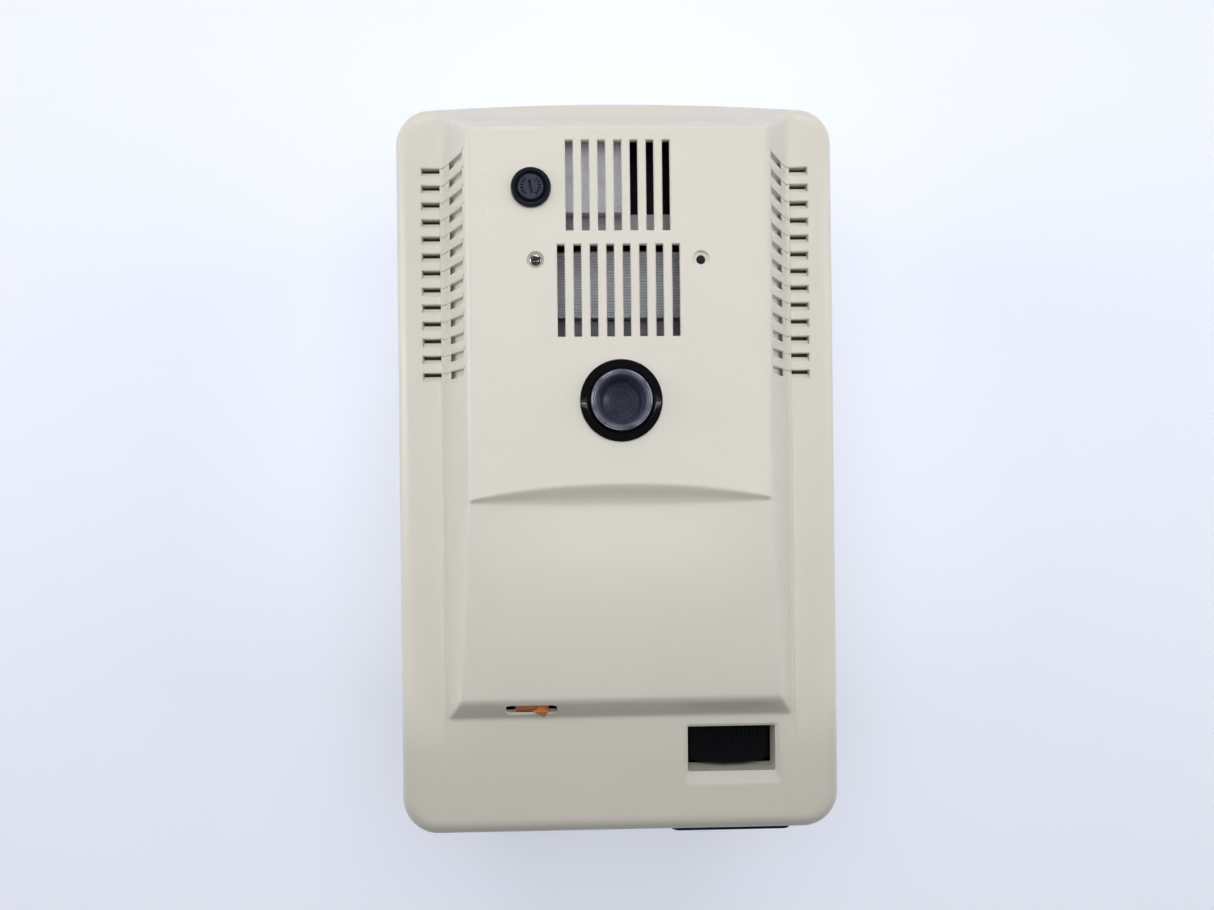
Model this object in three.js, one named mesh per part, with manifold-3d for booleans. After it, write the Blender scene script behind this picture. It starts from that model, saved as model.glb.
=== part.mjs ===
// Bench-top laboratory incubator: a moulded upper cover with a vented hump, a thumbwheel
// temperature setting and a sample port, over an insulated chamber with a hinged front door.
// Millimetres. +Z is up, -Y is the front (door side), +X is the right-hand side seen from the front.
// The origin is on the ground, under the centre of the object's box.

import * as THREE from 'three';
import { mergeVertices } from 'three/addons/utils/BufferGeometryUtils.js';
import Module from 'manifold-3d';

const wasm = await Module();
wasm.setup();

// ---------------------------------------------------------------- driving dimensions

const GAP = 0.3; // clearance between pieces that touch

const BODY_W = 192; // plan size of the casing
const BODY_D = 320.4;
const CORNER_R = 16;
const REAR_BOW = 2.6; // the rear edge bows out by this much
const WALL = 2.8;

const FLOOR_Z = 8; // underside of the housing, on top of the feet
const SPLIT_Z = 126; // parting line between housing and cover
const SHOULDER_Z = 192; // flat shoulders of the cover
const SHOULDER_FILLET = 8;

const HUMP_H = 27; // raised panel above the shoulders
const HUMP_TOP = SHOULDER_Z + HUMP_H;
const HUMP_HALF_FOOT = 74.4;
const HUMP_HALF_TOP = 61;
const HUMP_REAR_FOOT_Y = 152;
const HUMP_REAR_Y = 138.8;
const STEP_Y = -14; // where the lower panel starts
const STEP_H = 25.6; // height of the lower panel's sides there
const STEP_ARC_SIDE_Y = -12.4;
const STEP_ARC_CENTRE_Y = -8;
const DISH = { halfX: 59, halfY: 45, depth: 5, level: 26.5 }; // ellipsoid sunk into the lower panel
const LIP_Y = -98.8; // front edge of the lower panel
const LIP_H = 12.5;
const PANEL_CROWN = 1.2; // the lower panel bulges above the straight line by this much half way
const RISER_FOOT_Y = -108;

const SIDE_VENTS = { count: 13, firstY: 128.4, pitch: 7.4, width: 3.25, inner: 63.5, outer: 84.1 };
const UPPER_VENTS = { count: 7, pitch: 6.55, width: 3.1, y0: 96.1, y1: 132.6 };
const LOWER_VENTS = { count: 8, pitch: 6.67, width: 3.1, y0: 53.1, y1: 90.4 };

const FUSE = { x: -35.1, y: 113.3 };
const SCREW = { x: 33.6, y: 84.2, recessR: 3.3, holeR: 1.9 };
const PORT = { x: 0.5, y: 27.1, ringR: 16.7, tubeR: 12.2, boreR: 10.2 };

const SLOT = { x0: -49.3, x1: -27.6, z0: 2.7, z1: 9.9 }; // pointer window in the riser
const SLOT_SKIN = 0.9; // the riser is this thin round the window
const WHEEL_WINDOW = { x0: 29, x1: 67.4, y0: -133.6, y1: -113.9, skirt: 13.3 };
const WHEEL = { x: 48.2, z: SHOULDER_Z - 34.5, r: 28, y0: -132.4, y1: -114.6, ribs: 44 };
const PINION_R = 4;
const RACK = { y0: -98.2, y1: -94.4, x0: -36, x1: 66 };
const POST_X1 = -32; // the rack's post runs from the rack's end to here

const PANEL = { x0: 22.3, x1: 75.9, z0: 150, z1: 182, thick: 2.3 };
const ROCKER = { x: 62, z: 166 };
const LAMPS = [
  { name: 'power_lamp', x: 33, lens: 0x2f8f3a },
  { name: 'heater_lamp', x: 45, lens: 0xd8821e },
];
const INLET = { x: -45, z: 150 };
const PROBE = { x: 54, y: 60 };

const DOOR_BACK_Y = -141.3;
const DOOR = { x0: -86.9, x1: 95.6, y1: -149.6, z0: 12.3, z1: 125.7 };
const DOOR_RIM_BACK_Y = -143.2; // the rim stops short, so that it clears the chamber's flange as it swings
const HINGE = { x: -84.4, y: -163.8, eyeR: 3, pinR: 1.5, heights: [30, 108] };
const CHAMBER_SKIN = 1.4;
const CHAMBER = { halfX: 75.2, y0: DOOR_BACK_Y - CHAMBER_SKIN, y1: 96.6, z0: 24.8, z1: 115.2 };
const CHAMBER_MID_Z = (CHAMBER.z0 + CHAMBER.z1) / 2;

const FRONT_Y = -BODY_D / 2;
const REAR_Y = BODY_D / 2;
const CHASSIS_TOP = SPLIT_Z + GAP + 1.5;

// ---------------------------------------------------------------- materials

const finish = (color, roughness, metalness = 0, opacity = 1) =>
  new THREE.MeshStandardMaterial({ color, roughness, metalness, opacity, transparent: opacity < 1 });

const BEIGE = finish(0xd9d5c7, 0.55);
const BLACK = finish(0x17181a, 0.45);
const BLACK_GLOSS = finish(0x0d0d0e, 0.2);
const CLEAR = finish(0xc9cfd2, 0.1, 0, 0.4);
const STEEL = finish(0x9a9da0, 0.4, 0.9);
const LIGHT_METAL = finish(0xb9bbb8, 0.45, 0.8);
const CORE_STEEL = finish(0x8a8d92, 0.5, 0.8);
const STAINLESS = finish(0xb4b6b8, 0.35, 0.9);
const ORANGE = finish(0xb8641e, 0.5);
const WHITE = finish(0xe8e6df, 0.6);
const GREEN_BOARD = finish(0x2c5a3a, 0.5);
const GREY_TAPE = finish(0x7d7f84, 0.6);
const FOAM = finish(0xe4dcc0, 0.9);
const RUBBER = finish(0x2b2b2c, 0.85);
const SILICONE = finish(0x8f8f8c, 0.7);
const GLASS = finish(0xb8c4c6, 0.05, 0, 0.35);
const BRASS = finish(0xb59a55, 0.35, 0.9);

// ---------------------------------------------------------------- solids

/** Turns a closed three.js geometry into a solid for joining and cutting. */
function solid(geometry) {
  const bare = geometry.index ? geometry : geometry.clone();
  bare.deleteAttribute('normal');
  bare.deleteAttribute('uv');
  const merged = mergeVertices(bare, 1e-4);
  return new wasm.Manifold(new wasm.Mesh({
    numProp: 3,
    vertProperties: new Float32Array(merged.attributes.position.array),
    triVerts: new Uint32Array(merged.index.array),
  }));
}

/** Turns a solid back into a three.js geometry. */
function toGeometry(body) {
  const mesh = body.getMesh();
  const geometry = new THREE.BufferGeometry();
  geometry.setAttribute('position', new THREE.BufferAttribute(new Float32Array(mesh.vertProperties), 3));
  geometry.setIndex(new THREE.BufferAttribute(new Uint32Array(mesh.triVerts), 1));
  geometry.computeVertexNormals();
  return geometry;
}

const join = (...bodies) => bodies.reduce((sum, body) => sum.add(body));
const cut = (body, ...tools) => tools.reduce((rest, tool) => rest.subtract(tool), body);

/** Box between two corners. */
function box(x0, x1, y0, y1, z0, z1) {
  const geometry = new THREE.BoxGeometry(x1 - x0, y1 - y0, z1 - z0);
  geometry.translate((x0 + x1) / 2, (y0 + y1) / 2, (z0 + z1) / 2);
  return solid(geometry);
}

/** Cylinder along an axis, from one coordinate to another on that axis. */
function rod(axis, centre, r, from, to, segments = 24) {
  const geometry = new THREE.CylinderGeometry(r, r, to - from, segments);
  geometry.translate(0, (from + to) / 2, 0);
  if (axis === 'z') geometry.rotateX(Math.PI / 2);
  if (axis === 'x') geometry.rotateZ(-Math.PI / 2);
  const [u, v] = centre;
  if (axis === 'x') geometry.translate(0, u, v);
  if (axis === 'y') geometry.translate(u, 0, v);
  if (axis === 'z') geometry.translate(u, v, 0);
  return solid(geometry);
}

const FRAMES = {
  x: [[0, 1, 0], [0, 0, 1], [1, 0, 0]],
  y: [[0, 0, 1], [1, 0, 0], [0, 1, 0]],
  z: [[1, 0, 0], [0, 1, 0], [0, 0, 1]],
};

/** Extrudes an outline along an axis: (y, z) points along x, (z, x) along y, (x, y) along z. */
function prism(axis, outline, from, to, options = {}) {
  const shape = outline instanceof THREE.Shape ? outline
    : new THREE.Shape(outline.map(([u, v]) => new THREE.Vector2(u, v)));
  const geometry = new THREE.ExtrudeGeometry(shape,
    { depth: to - from, bevelEnabled: false, curveSegments: 5, ...options });
  geometry.translate(0, 0, from);
  const [u, v, w] = FRAMES[axis].map((column) => new THREE.Vector3(...column));
  geometry.applyMatrix4(new THREE.Matrix4().makeBasis(u, v, w));
  return solid(geometry);
}

/** Same as prism along y, with the points given as (x, z). */
const prismY = (points, from, to) => prism('y', points.map(([x, z]) => [z, x]), from, to);

/** Turned piece: (radius, height) points from the axis, or closing on themselves. */
function turned(profile, x, y, segments = 24) {
  const points = profile.map(([r, z]) => new THREE.Vector2(r, z));
  const geometry = new THREE.LatheGeometry(points, segments);
  geometry.rotateX(Math.PI / 2);
  geometry.translate(x, y, 0);
  return solid(geometry);
}

const ring = (profile) => [...profile, profile[0]];

/** Moves each side of a polygon (given anticlockwise) inwards by a distance. */
function insetPolygon(points, distance) {
  const lines = points.map(([x, y], i) => {
    const [nx, ny] = points[(i + 1) % points.length];
    const length = Math.hypot(nx - x, ny - y);
    const normal = [-(ny - y) / length, (nx - x) / length];
    return { at: [x + normal[0] * distance, y + normal[1] * distance], along: [nx - x, ny - y] };
  });
  return lines.map((line, i) => {
    const before = lines[(i + lines.length - 1) % lines.length];
    const cross = before.along[0] * line.along[1] - before.along[1] * line.along[0];
    const dx = line.at[0] - before.at[0];
    const dy = line.at[1] - before.at[1];
    const t = (dx * line.along[1] - dy * line.along[0]) / cross;
    return [before.at[0] + before.along[0] * t, before.at[1] + before.along[1] * t];
  });
}

/** Plan outline of the casing: round corners, and a rear edge that bows outwards. */
function bodyOutline(inset) {
  const x = BODY_W / 2 - inset;
  const front = FRONT_Y + inset;
  const rear = REAR_Y - REAR_BOW - inset;
  const r = CORNER_R - inset;
  const shape = new THREE.Shape();
  shape.moveTo(-x + r, front);
  shape.lineTo(x - r, front);
  shape.absarc(x - r, front + r, r, -Math.PI / 2, 0);
  shape.lineTo(x, rear - r);
  shape.absarc(x - r, rear - r, r, 0, Math.PI / 2);
  shape.quadraticCurveTo(0, rear + 2 * REAR_BOW, -x + r, rear);
  shape.absarc(-x + r, rear - r, r, Math.PI / 2, Math.PI);
  shape.lineTo(-x, front + r);
  shape.absarc(-x + r, front + r, r, Math.PI, 1.5 * Math.PI);
  return shape;
}

/** Flat plate with the casing's outline. */
const outlinePlate = (inset, z0, z1) => prism('z', bodyOutline(inset), z0, z1);

const model = new THREE.Group();

/** Adds one named piece to the model. */
function piece(name, body, material, parent = model) {
  const mesh = new THREE.Mesh(toGeometry(body), material);
  mesh.name = name;
  parent.add(mesh);
  return mesh;
}

// ---------------------------------------------------------------- upper cover

/** Outer or inner skin of the cover's box, with its top edge rounded. */
function coverBlock(inset, z0) {
  const radius = SHOULDER_FILLET - inset;
  const block = prism('z', bodyOutline(inset), z0 - 2 * radius, SHOULDER_Z - inset - radius,
    {
      bevelEnabled: true, bevelThickness: radius, bevelSize: radius, bevelOffset: -radius,
      bevelSegments: 3,
    });
  return cut(block, box(-BODY_W, BODY_W, -BODY_D, BODY_D, z0 - 4 * radius, z0));
}

/** Hump: a long side view crossed with a drafted end view, both moved inwards by the inset. */
function humpBlock(inset) {
  const base = SHOULDER_Z - 30;
  const side = [
    [RISER_FOOT_Y, base],
    [HUMP_REAR_FOOT_Y, base],
    [HUMP_REAR_FOOT_Y, SHOULDER_Z - 1],
    [HUMP_REAR_Y, HUMP_TOP],
    [STEP_ARC_SIDE_Y, HUMP_TOP],
    [STEP_Y, SHOULDER_Z + STEP_H],
    [(STEP_Y + LIP_Y) / 2, SHOULDER_Z + (STEP_H + LIP_H) / 2 + PANEL_CROWN],
    [LIP_Y, SHOULDER_Z + LIP_H],
    [RISER_FOOT_Y, SHOULDER_Z],
  ];
  const draft = (HUMP_HALF_FOOT - HUMP_HALF_TOP) / HUMP_H;
  const low = HUMP_HALF_FOOT + 12 * draft;
  const end = [
    [-low, SHOULDER_Z - 12],
    [low, SHOULDER_Z - 12],
    [HUMP_HALF_TOP, HUMP_TOP],
    [-HUMP_HALF_TOP, HUMP_TOP],
  ];
  const sideSolid = prism('x', insetPolygon(side, inset), -BODY_W / 2, BODY_W / 2);
  const endSolid = prismY(insetPolygon(end, inset), -BODY_D / 2, BODY_D / 2);
  return sideSolid.intersect(endSolid);
}

/** Ellipsoid over the lower panel, its widest section at the step, grown by a margin. */
function dish(margin) {
  const geometry = new THREE.SphereGeometry(1, 40, 24);
  geometry.scale(DISH.halfX + margin, DISH.halfY + margin, DISH.depth + margin);
  geometry.translate(0, STEP_Y, SHOULDER_Z + DISH.level);
  return solid(geometry);
}

/** Scoop at the step: the ellipsoid, in front of a shallow arc. */
function stepScoop() {
  const front = STEP_Y - DISH.halfY - 1;
  const shape = new THREE.Shape();
  shape.moveTo(-DISH.halfX, front);
  shape.lineTo(DISH.halfX, front);
  shape.lineTo(DISH.halfX, STEP_ARC_SIDE_Y);
  shape.quadraticCurveTo(0, 2 * STEP_ARC_CENTRE_Y - STEP_ARC_SIDE_Y, -DISH.halfX, STEP_ARC_SIDE_Y);
  return prism('z', shape, SHOULDER_Z + LIP_H, HUMP_TOP + 1, { curveSegments: 12 }).intersect(dish(0));
}

/** Row of slots through the top of the hump. */
function ventRow(vents) {
  const start = -((vents.count - 1) * vents.pitch) / 2;
  return Array.from({ length: vents.count }, (_, i) => {
    const x = start + i * vents.pitch;
    return box(x - vents.width / 2, x + vents.width / 2, vents.y0, vents.y1, HUMP_TOP - 6, HUMP_TOP + 2);
  });
}

/** Slots through both side walls of the hump. */
function sideVents() {
  const { count, firstY, pitch, width, inner, outer } = SIDE_VENTS;
  const slots = [];
  for (let i = 0; i < count; i += 1) {
    const y = firstY - i * pitch;
    for (const side of [-1, 1]) {
      const xs = [side * inner, side * outer].sort((a, b) => a - b);
      slots.push(box(xs[0], xs[1], y - width / 2, y + width / 2, SHOULDER_Z - 6, HUMP_TOP - 1));
    }
  }
  return slots;
}

/** Point given along the riser from its foot, and outwards from its face, as (y, z). */
function riserPoint(along, out) {
  const run = LIP_Y - RISER_FOOT_Y;
  const length = Math.hypot(run, LIP_H);
  return [
    RISER_FOOT_Y + (along * run - out * LIP_H) / length,
    SHOULDER_Z + (along * LIP_H + out * run) / length,
  ];
}

/** Plate parallel to the riser, between two heights along it and two distances from its face. */
function riserPlate(x0, x1, along0, along1, out0, out1) {
  const corners = [[along0, out0], [along0, out1], [along1, out1], [along1, out0]];
  return prism('x', corners.map(([along, out]) => riserPoint(along, out)).reverse(), x0, x1);
}

/** The whole cover, hollow below, with every opening through it. */
function topCover() {
  const w = WHEEL_WINDOW;
  const skirtWall = 2;
  const outer = cut(join(coverBlock(0, SPLIT_Z + GAP), humpBlock(0)), stepScoop());
  const inner = join(coverBlock(WALL, SPLIT_Z - 5), cut(humpBlock(WALL),
    dish(WALL).intersect(box(-BODY_W, BODY_W, -BODY_D, STEP_ARC_CENTRE_Y + WALL, SHOULDER_Z, HUMP_TOP))));
  const skirt = box(w.x0 - skirtWall, w.x1 + skirtWall, w.y0 - skirtWall, w.y1 + skirtWall,
    SHOULDER_Z - w.skirt, SHOULDER_Z - 1);
  const screws = [-SCREW.x, SCREW.x].flatMap((x) => [
    rod('z', [x, SCREW.y], SCREW.holeR, HUMP_TOP - 6, HUMP_TOP + 1, 20),
    rod('z', [x, SCREW.y], SCREW.recessR, HUMP_TOP - 1.4, HUMP_TOP + 1, 20),
  ]);
  const shell = cut(outer, inner);
  return cut(join(shell, skirt),
    box(w.x0, w.x1, w.y0, w.y1, SHOULDER_Z - 2 * w.skirt, SHOULDER_Z + 2),
    ...ventRow(UPPER_VENTS), ...ventRow(LOWER_VENTS), ...sideVents(), ...screws,
    rod('z', [FUSE.x, FUSE.y], 6.6, HUMP_TOP - 6, HUMP_TOP + 2),
    rod('z', [PORT.x, PORT.y], PORT.tubeR + 0.4, HUMP_TOP - 6, HUMP_TOP + 2, 32),
    box(SLOT.x0, SLOT.x1, RISER_FOOT_Y - 2, LIP_Y + 6, SHOULDER_Z + SLOT.z0, SHOULDER_Z + SLOT.z1),
    riserPlate(-60.8, -25.2, 1.7, 11.5, -6, -SLOT_SKIN),
    box(ROCKER.x - 6.8, ROCKER.x + 6.8, FRONT_Y - 1, FRONT_Y + 6, ROCKER.z - 9.8, ROCKER.z + 9.8),
    ...LAMPS.map(({ x }) => rod('y', [x, ROCKER.z], 3.4, FRONT_Y - 1, FRONT_Y + 6, 16)),
    box(INLET.x - 14.5, INLET.x + 14.5, REAR_Y - 8, REAR_Y + 2, INLET.z - 11, INLET.z + 11));
}

piece('top_cover', topCover(), BEIGE);

// ---------------------------------------------------------------- port, fuse and cover screws

const tubeFoot = CHAMBER.z1 + CHAMBER_SKIN + GAP;
piece('port_tube', turned(ring([
  [PORT.boreR, tubeFoot], [PORT.tubeR, tubeFoot], [PORT.tubeR, HUMP_TOP + GAP],
  [PORT.ringR, HUMP_TOP + GAP], [PORT.ringR, HUMP_TOP + 1], [PORT.ringR - 0.8, HUMP_TOP + 1.5],
  [13.2, HUMP_TOP + 1.5], [12.6, HUMP_TOP + 0.6], [11.2, HUMP_TOP + 0.6], [PORT.boreR, HUMP_TOP - 4],
]), PORT.x, PORT.y), BLACK_GLOSS);

piece('port_plug', turned([
  [0, HUMP_TOP - 15], [9.4, HUMP_TOP - 15], [9.9, HUMP_TOP + 1.8], [12.2, HUMP_TOP + 1.8],
  [12.2, HUMP_TOP + 5], [11.4, HUMP_TOP + 5.6], [10.2, HUMP_TOP + 5.6], [9.2, HUMP_TOP + 4.4],
  [7.4, HUMP_TOP - 9], [0, HUMP_TOP - 9],
], PORT.x, PORT.y), CLEAR);

piece('fuse_holder', turned([
  [0, HUMP_TOP - 36], [4.4, HUMP_TOP - 36], [4.4, HUMP_TOP - 31], [6.2, HUMP_TOP - 31],
  [6.2, HUMP_TOP + GAP], [8.1, HUMP_TOP + GAP], [8.1, HUMP_TOP + 1.4], [7.6, HUMP_TOP + 1.9],
  [6.3, HUMP_TOP + 1.9], [5.5, HUMP_TOP + 0.6], [5.5, HUMP_TOP - 30], [0, HUMP_TOP - 30],
], FUSE.x, FUSE.y, 20), BLACK);

const capTop = HUMP_TOP + 2.2;
piece('fuse_cap', cut(
  turned([[0, HUMP_TOP - 9.4], [4, HUMP_TOP - 9.4], [4, HUMP_TOP - 2], [5.1, HUMP_TOP - 2],
    [5.1, capTop - 0.4], [4.7, capTop], [0, capTop]], FUSE.x, FUSE.y, 20),
  box(FUSE.x - 0.6, FUSE.x + 0.6, FUSE.y - 2.6, FUSE.y + 2.6, capTop - 1.2, capTop + 1)), BLACK);
piece('fuse_link', rod('z', [FUSE.x, FUSE.y], 2.6, HUMP_TOP - 29.7, HUMP_TOP - 9.7, 16), GLASS);

piece('cover_screw_left', cut(
  turned([[0, HUMP_TOP - 10], [1.2, HUMP_TOP - 10], [1.5, HUMP_TOP - 9], [1.5, HUMP_TOP - 1.1],
    [2.5, HUMP_TOP - 1.1], [2.5, HUMP_TOP - 0.2], [1.8, HUMP_TOP + 0.5], [0, HUMP_TOP + 0.7]],
  -SCREW.x, SCREW.y, 20),
  box(-SCREW.x - 1.5, -SCREW.x + 1.5, SCREW.y - 0.3, SCREW.y + 0.3, HUMP_TOP - 0.7, HUMP_TOP + 1),
  box(-SCREW.x - 0.3, -SCREW.x + 0.3, SCREW.y - 1.5, SCREW.y + 1.5, HUMP_TOP - 0.7, HUMP_TOP + 1)), STEEL);

for (const [name, x] of [['cover_post_left', -SCREW.x], ['cover_post_right', SCREW.x]]) {
  const top = HUMP_TOP - WALL - GAP;
  piece(name, cut(rod('z', [x, SCREW.y], 3.6, CHASSIS_TOP + GAP, top, 6),
    rod('z', [x, SCREW.y], SCREW.holeR, top - 12, top + 1, 16)), STEEL);
}

// ---------------------------------------------------------------- temperature setting

/** Toothed or ribbed disc outline, as (z, x) points for an extrusion along y. */
function toothedOutline(cx, cz, rootR, tipR, teeth) {
  const points = [];
  for (let i = 0; i < teeth; i += 1) {
    for (const [part, r] of [[0, rootR], [0.35, tipR], [0.65, tipR]]) {
      const angle = ((i + part) / teeth) * 2 * Math.PI;
      points.push([cz + r * Math.cos(angle), cx + r * Math.sin(angle)]);
    }
  }
  return points;
}

/** Ribbed wheel, hollow from behind, with a hub bored for its shaft. */
function settingWheel() {
  const axis = [WHEEL.x, WHEEL.z];
  const rim = prism('y', toothedOutline(...axis, WHEEL.r - 0.7, WHEEL.r, WHEEL.ribs), WHEEL.y0, WHEEL.y1);
  const hollow = rod('y', axis, WHEEL.r - 5, WHEEL.y0 + 4, WHEEL.y1 + 1);
  const hub = rod('y', axis, 6, WHEEL.y0 + 3, WHEEL.y1 + 3, 20);
  return cut(join(cut(rim, hollow), hub), rod('y', axis, 2.7, WHEEL.y0 - 1, WHEEL.y1 + 4, 20));
}
piece('setting_wheel', settingWheel(), BLACK);

const pinionTeeth = 12;
piece('wheel_shaft', join(
  rod('y', [WHEEL.x, WHEEL.z], 2.4, WHEEL.y0 + 0.4, -80, 20),
  prism('y', toothedOutline(WHEEL.x, WHEEL.z, PINION_R - 1.1, PINION_R - 0.1, pinionTeeth),
    RACK.y0 + 0.2, RACK.y1 - 0.2)), STEEL);

/** Rack: a toothed bar over the pinion, with a post that carries the pointer. */
function settingRack() {
  const z0 = WHEEL.z + PINION_R + 0.2;
  const pitch = (2 * Math.PI * PINION_R) / pinionTeeth;
  const outline = [[RACK.x1, z0 + 1], [RACK.x1, z0 + 5], [RACK.x0, z0 + 5], [RACK.x0, z0 + 1]];
  for (let x = WHEEL.x - 6 * pitch; x < RACK.x1 - pitch; x += pitch) {
    outline.push([x, z0 + 1], [x + 0.3 * pitch, z0], [x + 0.6 * pitch, z0], [x + 0.9 * pitch, z0 + 1]);
  }
  const postTop = SHOULDER_Z - 1.2;
  return join(prismY(outline, RACK.y0, RACK.y1),
    box(RACK.x0, POST_X1, RACK.y0, RACK.y1, z0 + 4, postTop),
    box(RACK.x0, POST_X1, RACK.y0 - 6.2, RACK.y1, postTop - 3, postTop));
}
piece('setting_rack', settingRack(), WHITE);

const POINTER = {
  flag: [-45.4, -31.2],
  neck: [-36, -32.4],
  tip: [-38.2, -31.2],
  pointX: -33, // where the tip ends, across the riser
  point: 1, // and up the riser
  root: 9,
};

/** Orange flag behind the riser, a neck through the window, and a triangular tip outside. */
function settingPointer() {
  const [flagBack, flagFront] = [-SLOT_SKIN - 1.1, -SLOT_SKIN - GAP];
  const [tipBack, tipFront] = [0.4, 1.4];
  const [left, right] = POINTER.tip;
  const [rootY] = riserPoint(POINTER.root, tipBack);
  const [pointY] = riserPoint(POINTER.point, tipBack);
  const plan = [
    [left, rootY + 1], [left, rootY], [POINTER.pointX, pointY], [right, rootY], [right, rootY + 1],
  ];
  return join(
    riserPlate(...POINTER.flag, 2.2, 11, flagBack, flagFront),
    riserPlate(RACK.x0, POST_X1, 2.2, 5, flagBack - 2.4, flagFront),
    riserPlate(...POINTER.neck, 6.5, POINTER.root, flagBack + 0.2, tipFront - 0.2),
    riserPlate(left, right, POINTER.point, POINTER.root, tipBack, tipFront)
      .intersect(prism('z', plan, SHOULDER_Z - 5, HUMP_TOP)));
}
piece('setting_pointer', settingPointer(), ORANGE);

piece('scale_strip', riserPlate(-47.4, -28.4, 6.4, 12.6, -3.5, -2.9), WHITE);

const guideTop = WHEEL.z + PINION_R - 0.2;
piece('rack_guide', join(
  box(-62, 28, RACK.y0 - 1, RACK.y1 + 4, guideTop - 1.5, guideTop),
  box(-62, 28, RACK.y1 + 2.2, RACK.y1 + 4, guideTop - 1, guideTop + 6),
  box(-62, -60, RACK.y0 - 1, RACK.y1 + 4, CHASSIS_TOP + GAP, guideTop - 1),
  box(26, 28, RACK.y0 - 1, RACK.y1 + 4, CHASSIS_TOP + GAP, guideTop - 1)), LIGHT_METAL);

piece('mechanism_bracket', cut(
  join(box(34, 63, -88, -86.5, CHASSIS_TOP + GAP, WHEEL.z + 13),
    box(34, 63, -88, -76, CHASSIS_TOP + GAP, CHASSIS_TOP + GAP + 1.5)),
  rod('y', [WHEEL.x, WHEEL.z], 4.1, -90, -84, 20)), STEEL);

piece('potentiometer', cut(
  join(rod('y', [WHEEL.x, WHEEL.z], 8.4, -86.2, -75), rod('y', [WHEEL.x, WHEEL.z], 3.7, -90.5, -85, 20),
    box(WHEEL.x - 6, WHEEL.x + 6, -80, -77, WHEEL.z - 14, WHEEL.z - 5)),
  rod('y', [WHEEL.x, WHEEL.z], 2.75, -92, -79, 20)), BLACK);

// ---------------------------------------------------------------- front control panel

const panelBack = FRONT_Y - GAP;
const panelFront = panelBack - PANEL.thick;

/** Rectangle with rounded corners, as (z, x) points for an extrusion along y. */
function roundedPanel(x0, x1, z0, z1, r) {
  const shape = new THREE.Shape();
  shape.moveTo(z0 + r, x0);
  shape.lineTo(z1 - r, x0);
  shape.absarc(z1 - r, x0 + r, r, -Math.PI / 2, 0);
  shape.lineTo(z1, x1 - r);
  shape.absarc(z1 - r, x1 - r, r, 0, Math.PI / 2);
  shape.lineTo(z0 + r, x1);
  shape.absarc(z0 + r, x1 - r, r, Math.PI / 2, Math.PI);
  shape.lineTo(z0, x0 + r);
  shape.absarc(z0 + r, x0 + r, r, Math.PI, 1.5 * Math.PI);
  return shape;
}

piece('control_panel', cut(
  prism('y', roundedPanel(PANEL.x0, PANEL.x1, PANEL.z0, PANEL.z1, 4), panelFront, panelBack),
  box(ROCKER.x - 6.8, ROCKER.x + 6.8, panelFront - 1, panelBack + 1, ROCKER.z - 9.8, ROCKER.z + 9.8),
  ...LAMPS.map(({ x }) => rod('y', [x, ROCKER.z], 3.4, panelFront - 1, panelBack + 1, 16))), BLACK);

const bezelBack = panelFront - GAP;
piece('rocker_housing', cut(
  join(box(ROCKER.x - 8, ROCKER.x + 8, bezelBack - 1.2, bezelBack, ROCKER.z - 11, ROCKER.z + 11),
    box(ROCKER.x - 6.4, ROCKER.x + 6.4, bezelBack - 0.5, -145, ROCKER.z - 9.4, ROCKER.z + 9.4)),
  box(ROCKER.x - 5.2, ROCKER.x + 5.2, bezelBack - 3, -151, ROCKER.z - 8.4, ROCKER.z + 8.4)), BLACK);

// The rocker rests with its lower half pressed in; it tips the other way about its middle.
const ROCKER_TILT = THREE.MathUtils.degToRad(9);
const ROCKER_PIVOT_Y = -156.5;
const ROCKER_SIDE = [[-6.2, -7.4], [-1, -6.6], [2.4, -2], [2.4, 2], [-1, 6.6], [-6.2, 7.4], [-5.6, 0]];
const rocker = piece('power_rocker', prism('x', ROCKER_SIDE, -4.8, 4.8), BLACK_GLOSS);
rocker.position.set(ROCKER.x, ROCKER_PIVOT_Y, ROCKER.z);
rocker.rotation.x = -ROCKER_TILT;

const LAMP_SIDE = [
  [0, 0], [2.9, 0], [2.9, 9.8], [3.8, 9.8], [3.8, 10.6], [3, 11.6], [1.6, 12.4], [0, 12.7],
];
for (const lamp of LAMPS) {
  const body = turned(LAMP_SIDE, 0, 0, 16);
  const mesh = piece(lamp.name, body, finish(lamp.lens, 0.25));
  mesh.rotation.x = Math.PI / 2;
  mesh.position.set(lamp.x, panelFront + 9.5, ROCKER.z);
}

// ---------------------------------------------------------------- electronics on the chassis plate

const sheet = 1.5; // thickness of the folded sheet metal
const BOARD = { x0: -72, x1: 22, y0: -84, y1: 6, z: CHASSIS_TOP + 6, thick: 1.6 };
const boardTop = BOARD.z + BOARD.thick;
const standoffs = [BOARD.x0 + 5, BOARD.x1 - 5]
  .flatMap((x) => [BOARD.y0 + 5, BOARD.y1 - 5].map((y) => [x, y]));

// The chassis folds up at both sides and ends in flanges just under the side vents.
const TRAY = { inner: 73.5, outer: 92, y0: 31, y1: 136, top: SHOULDER_Z - 5.9 };
const trays = [-1, 1].flatMap((side) => {
  const span = (a, b) => [side * a, side * b].sort((p, q) => p - q);
  return [
    box(...span(TRAY.outer - sheet, TRAY.outer), TRAY.y0, TRAY.y1, CHASSIS_TOP - 0.5, TRAY.top),
    box(...span(TRAY.inner, TRAY.outer), TRAY.y0, TRAY.y1, TRAY.top - sheet, TRAY.top),
  ];
});

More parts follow.
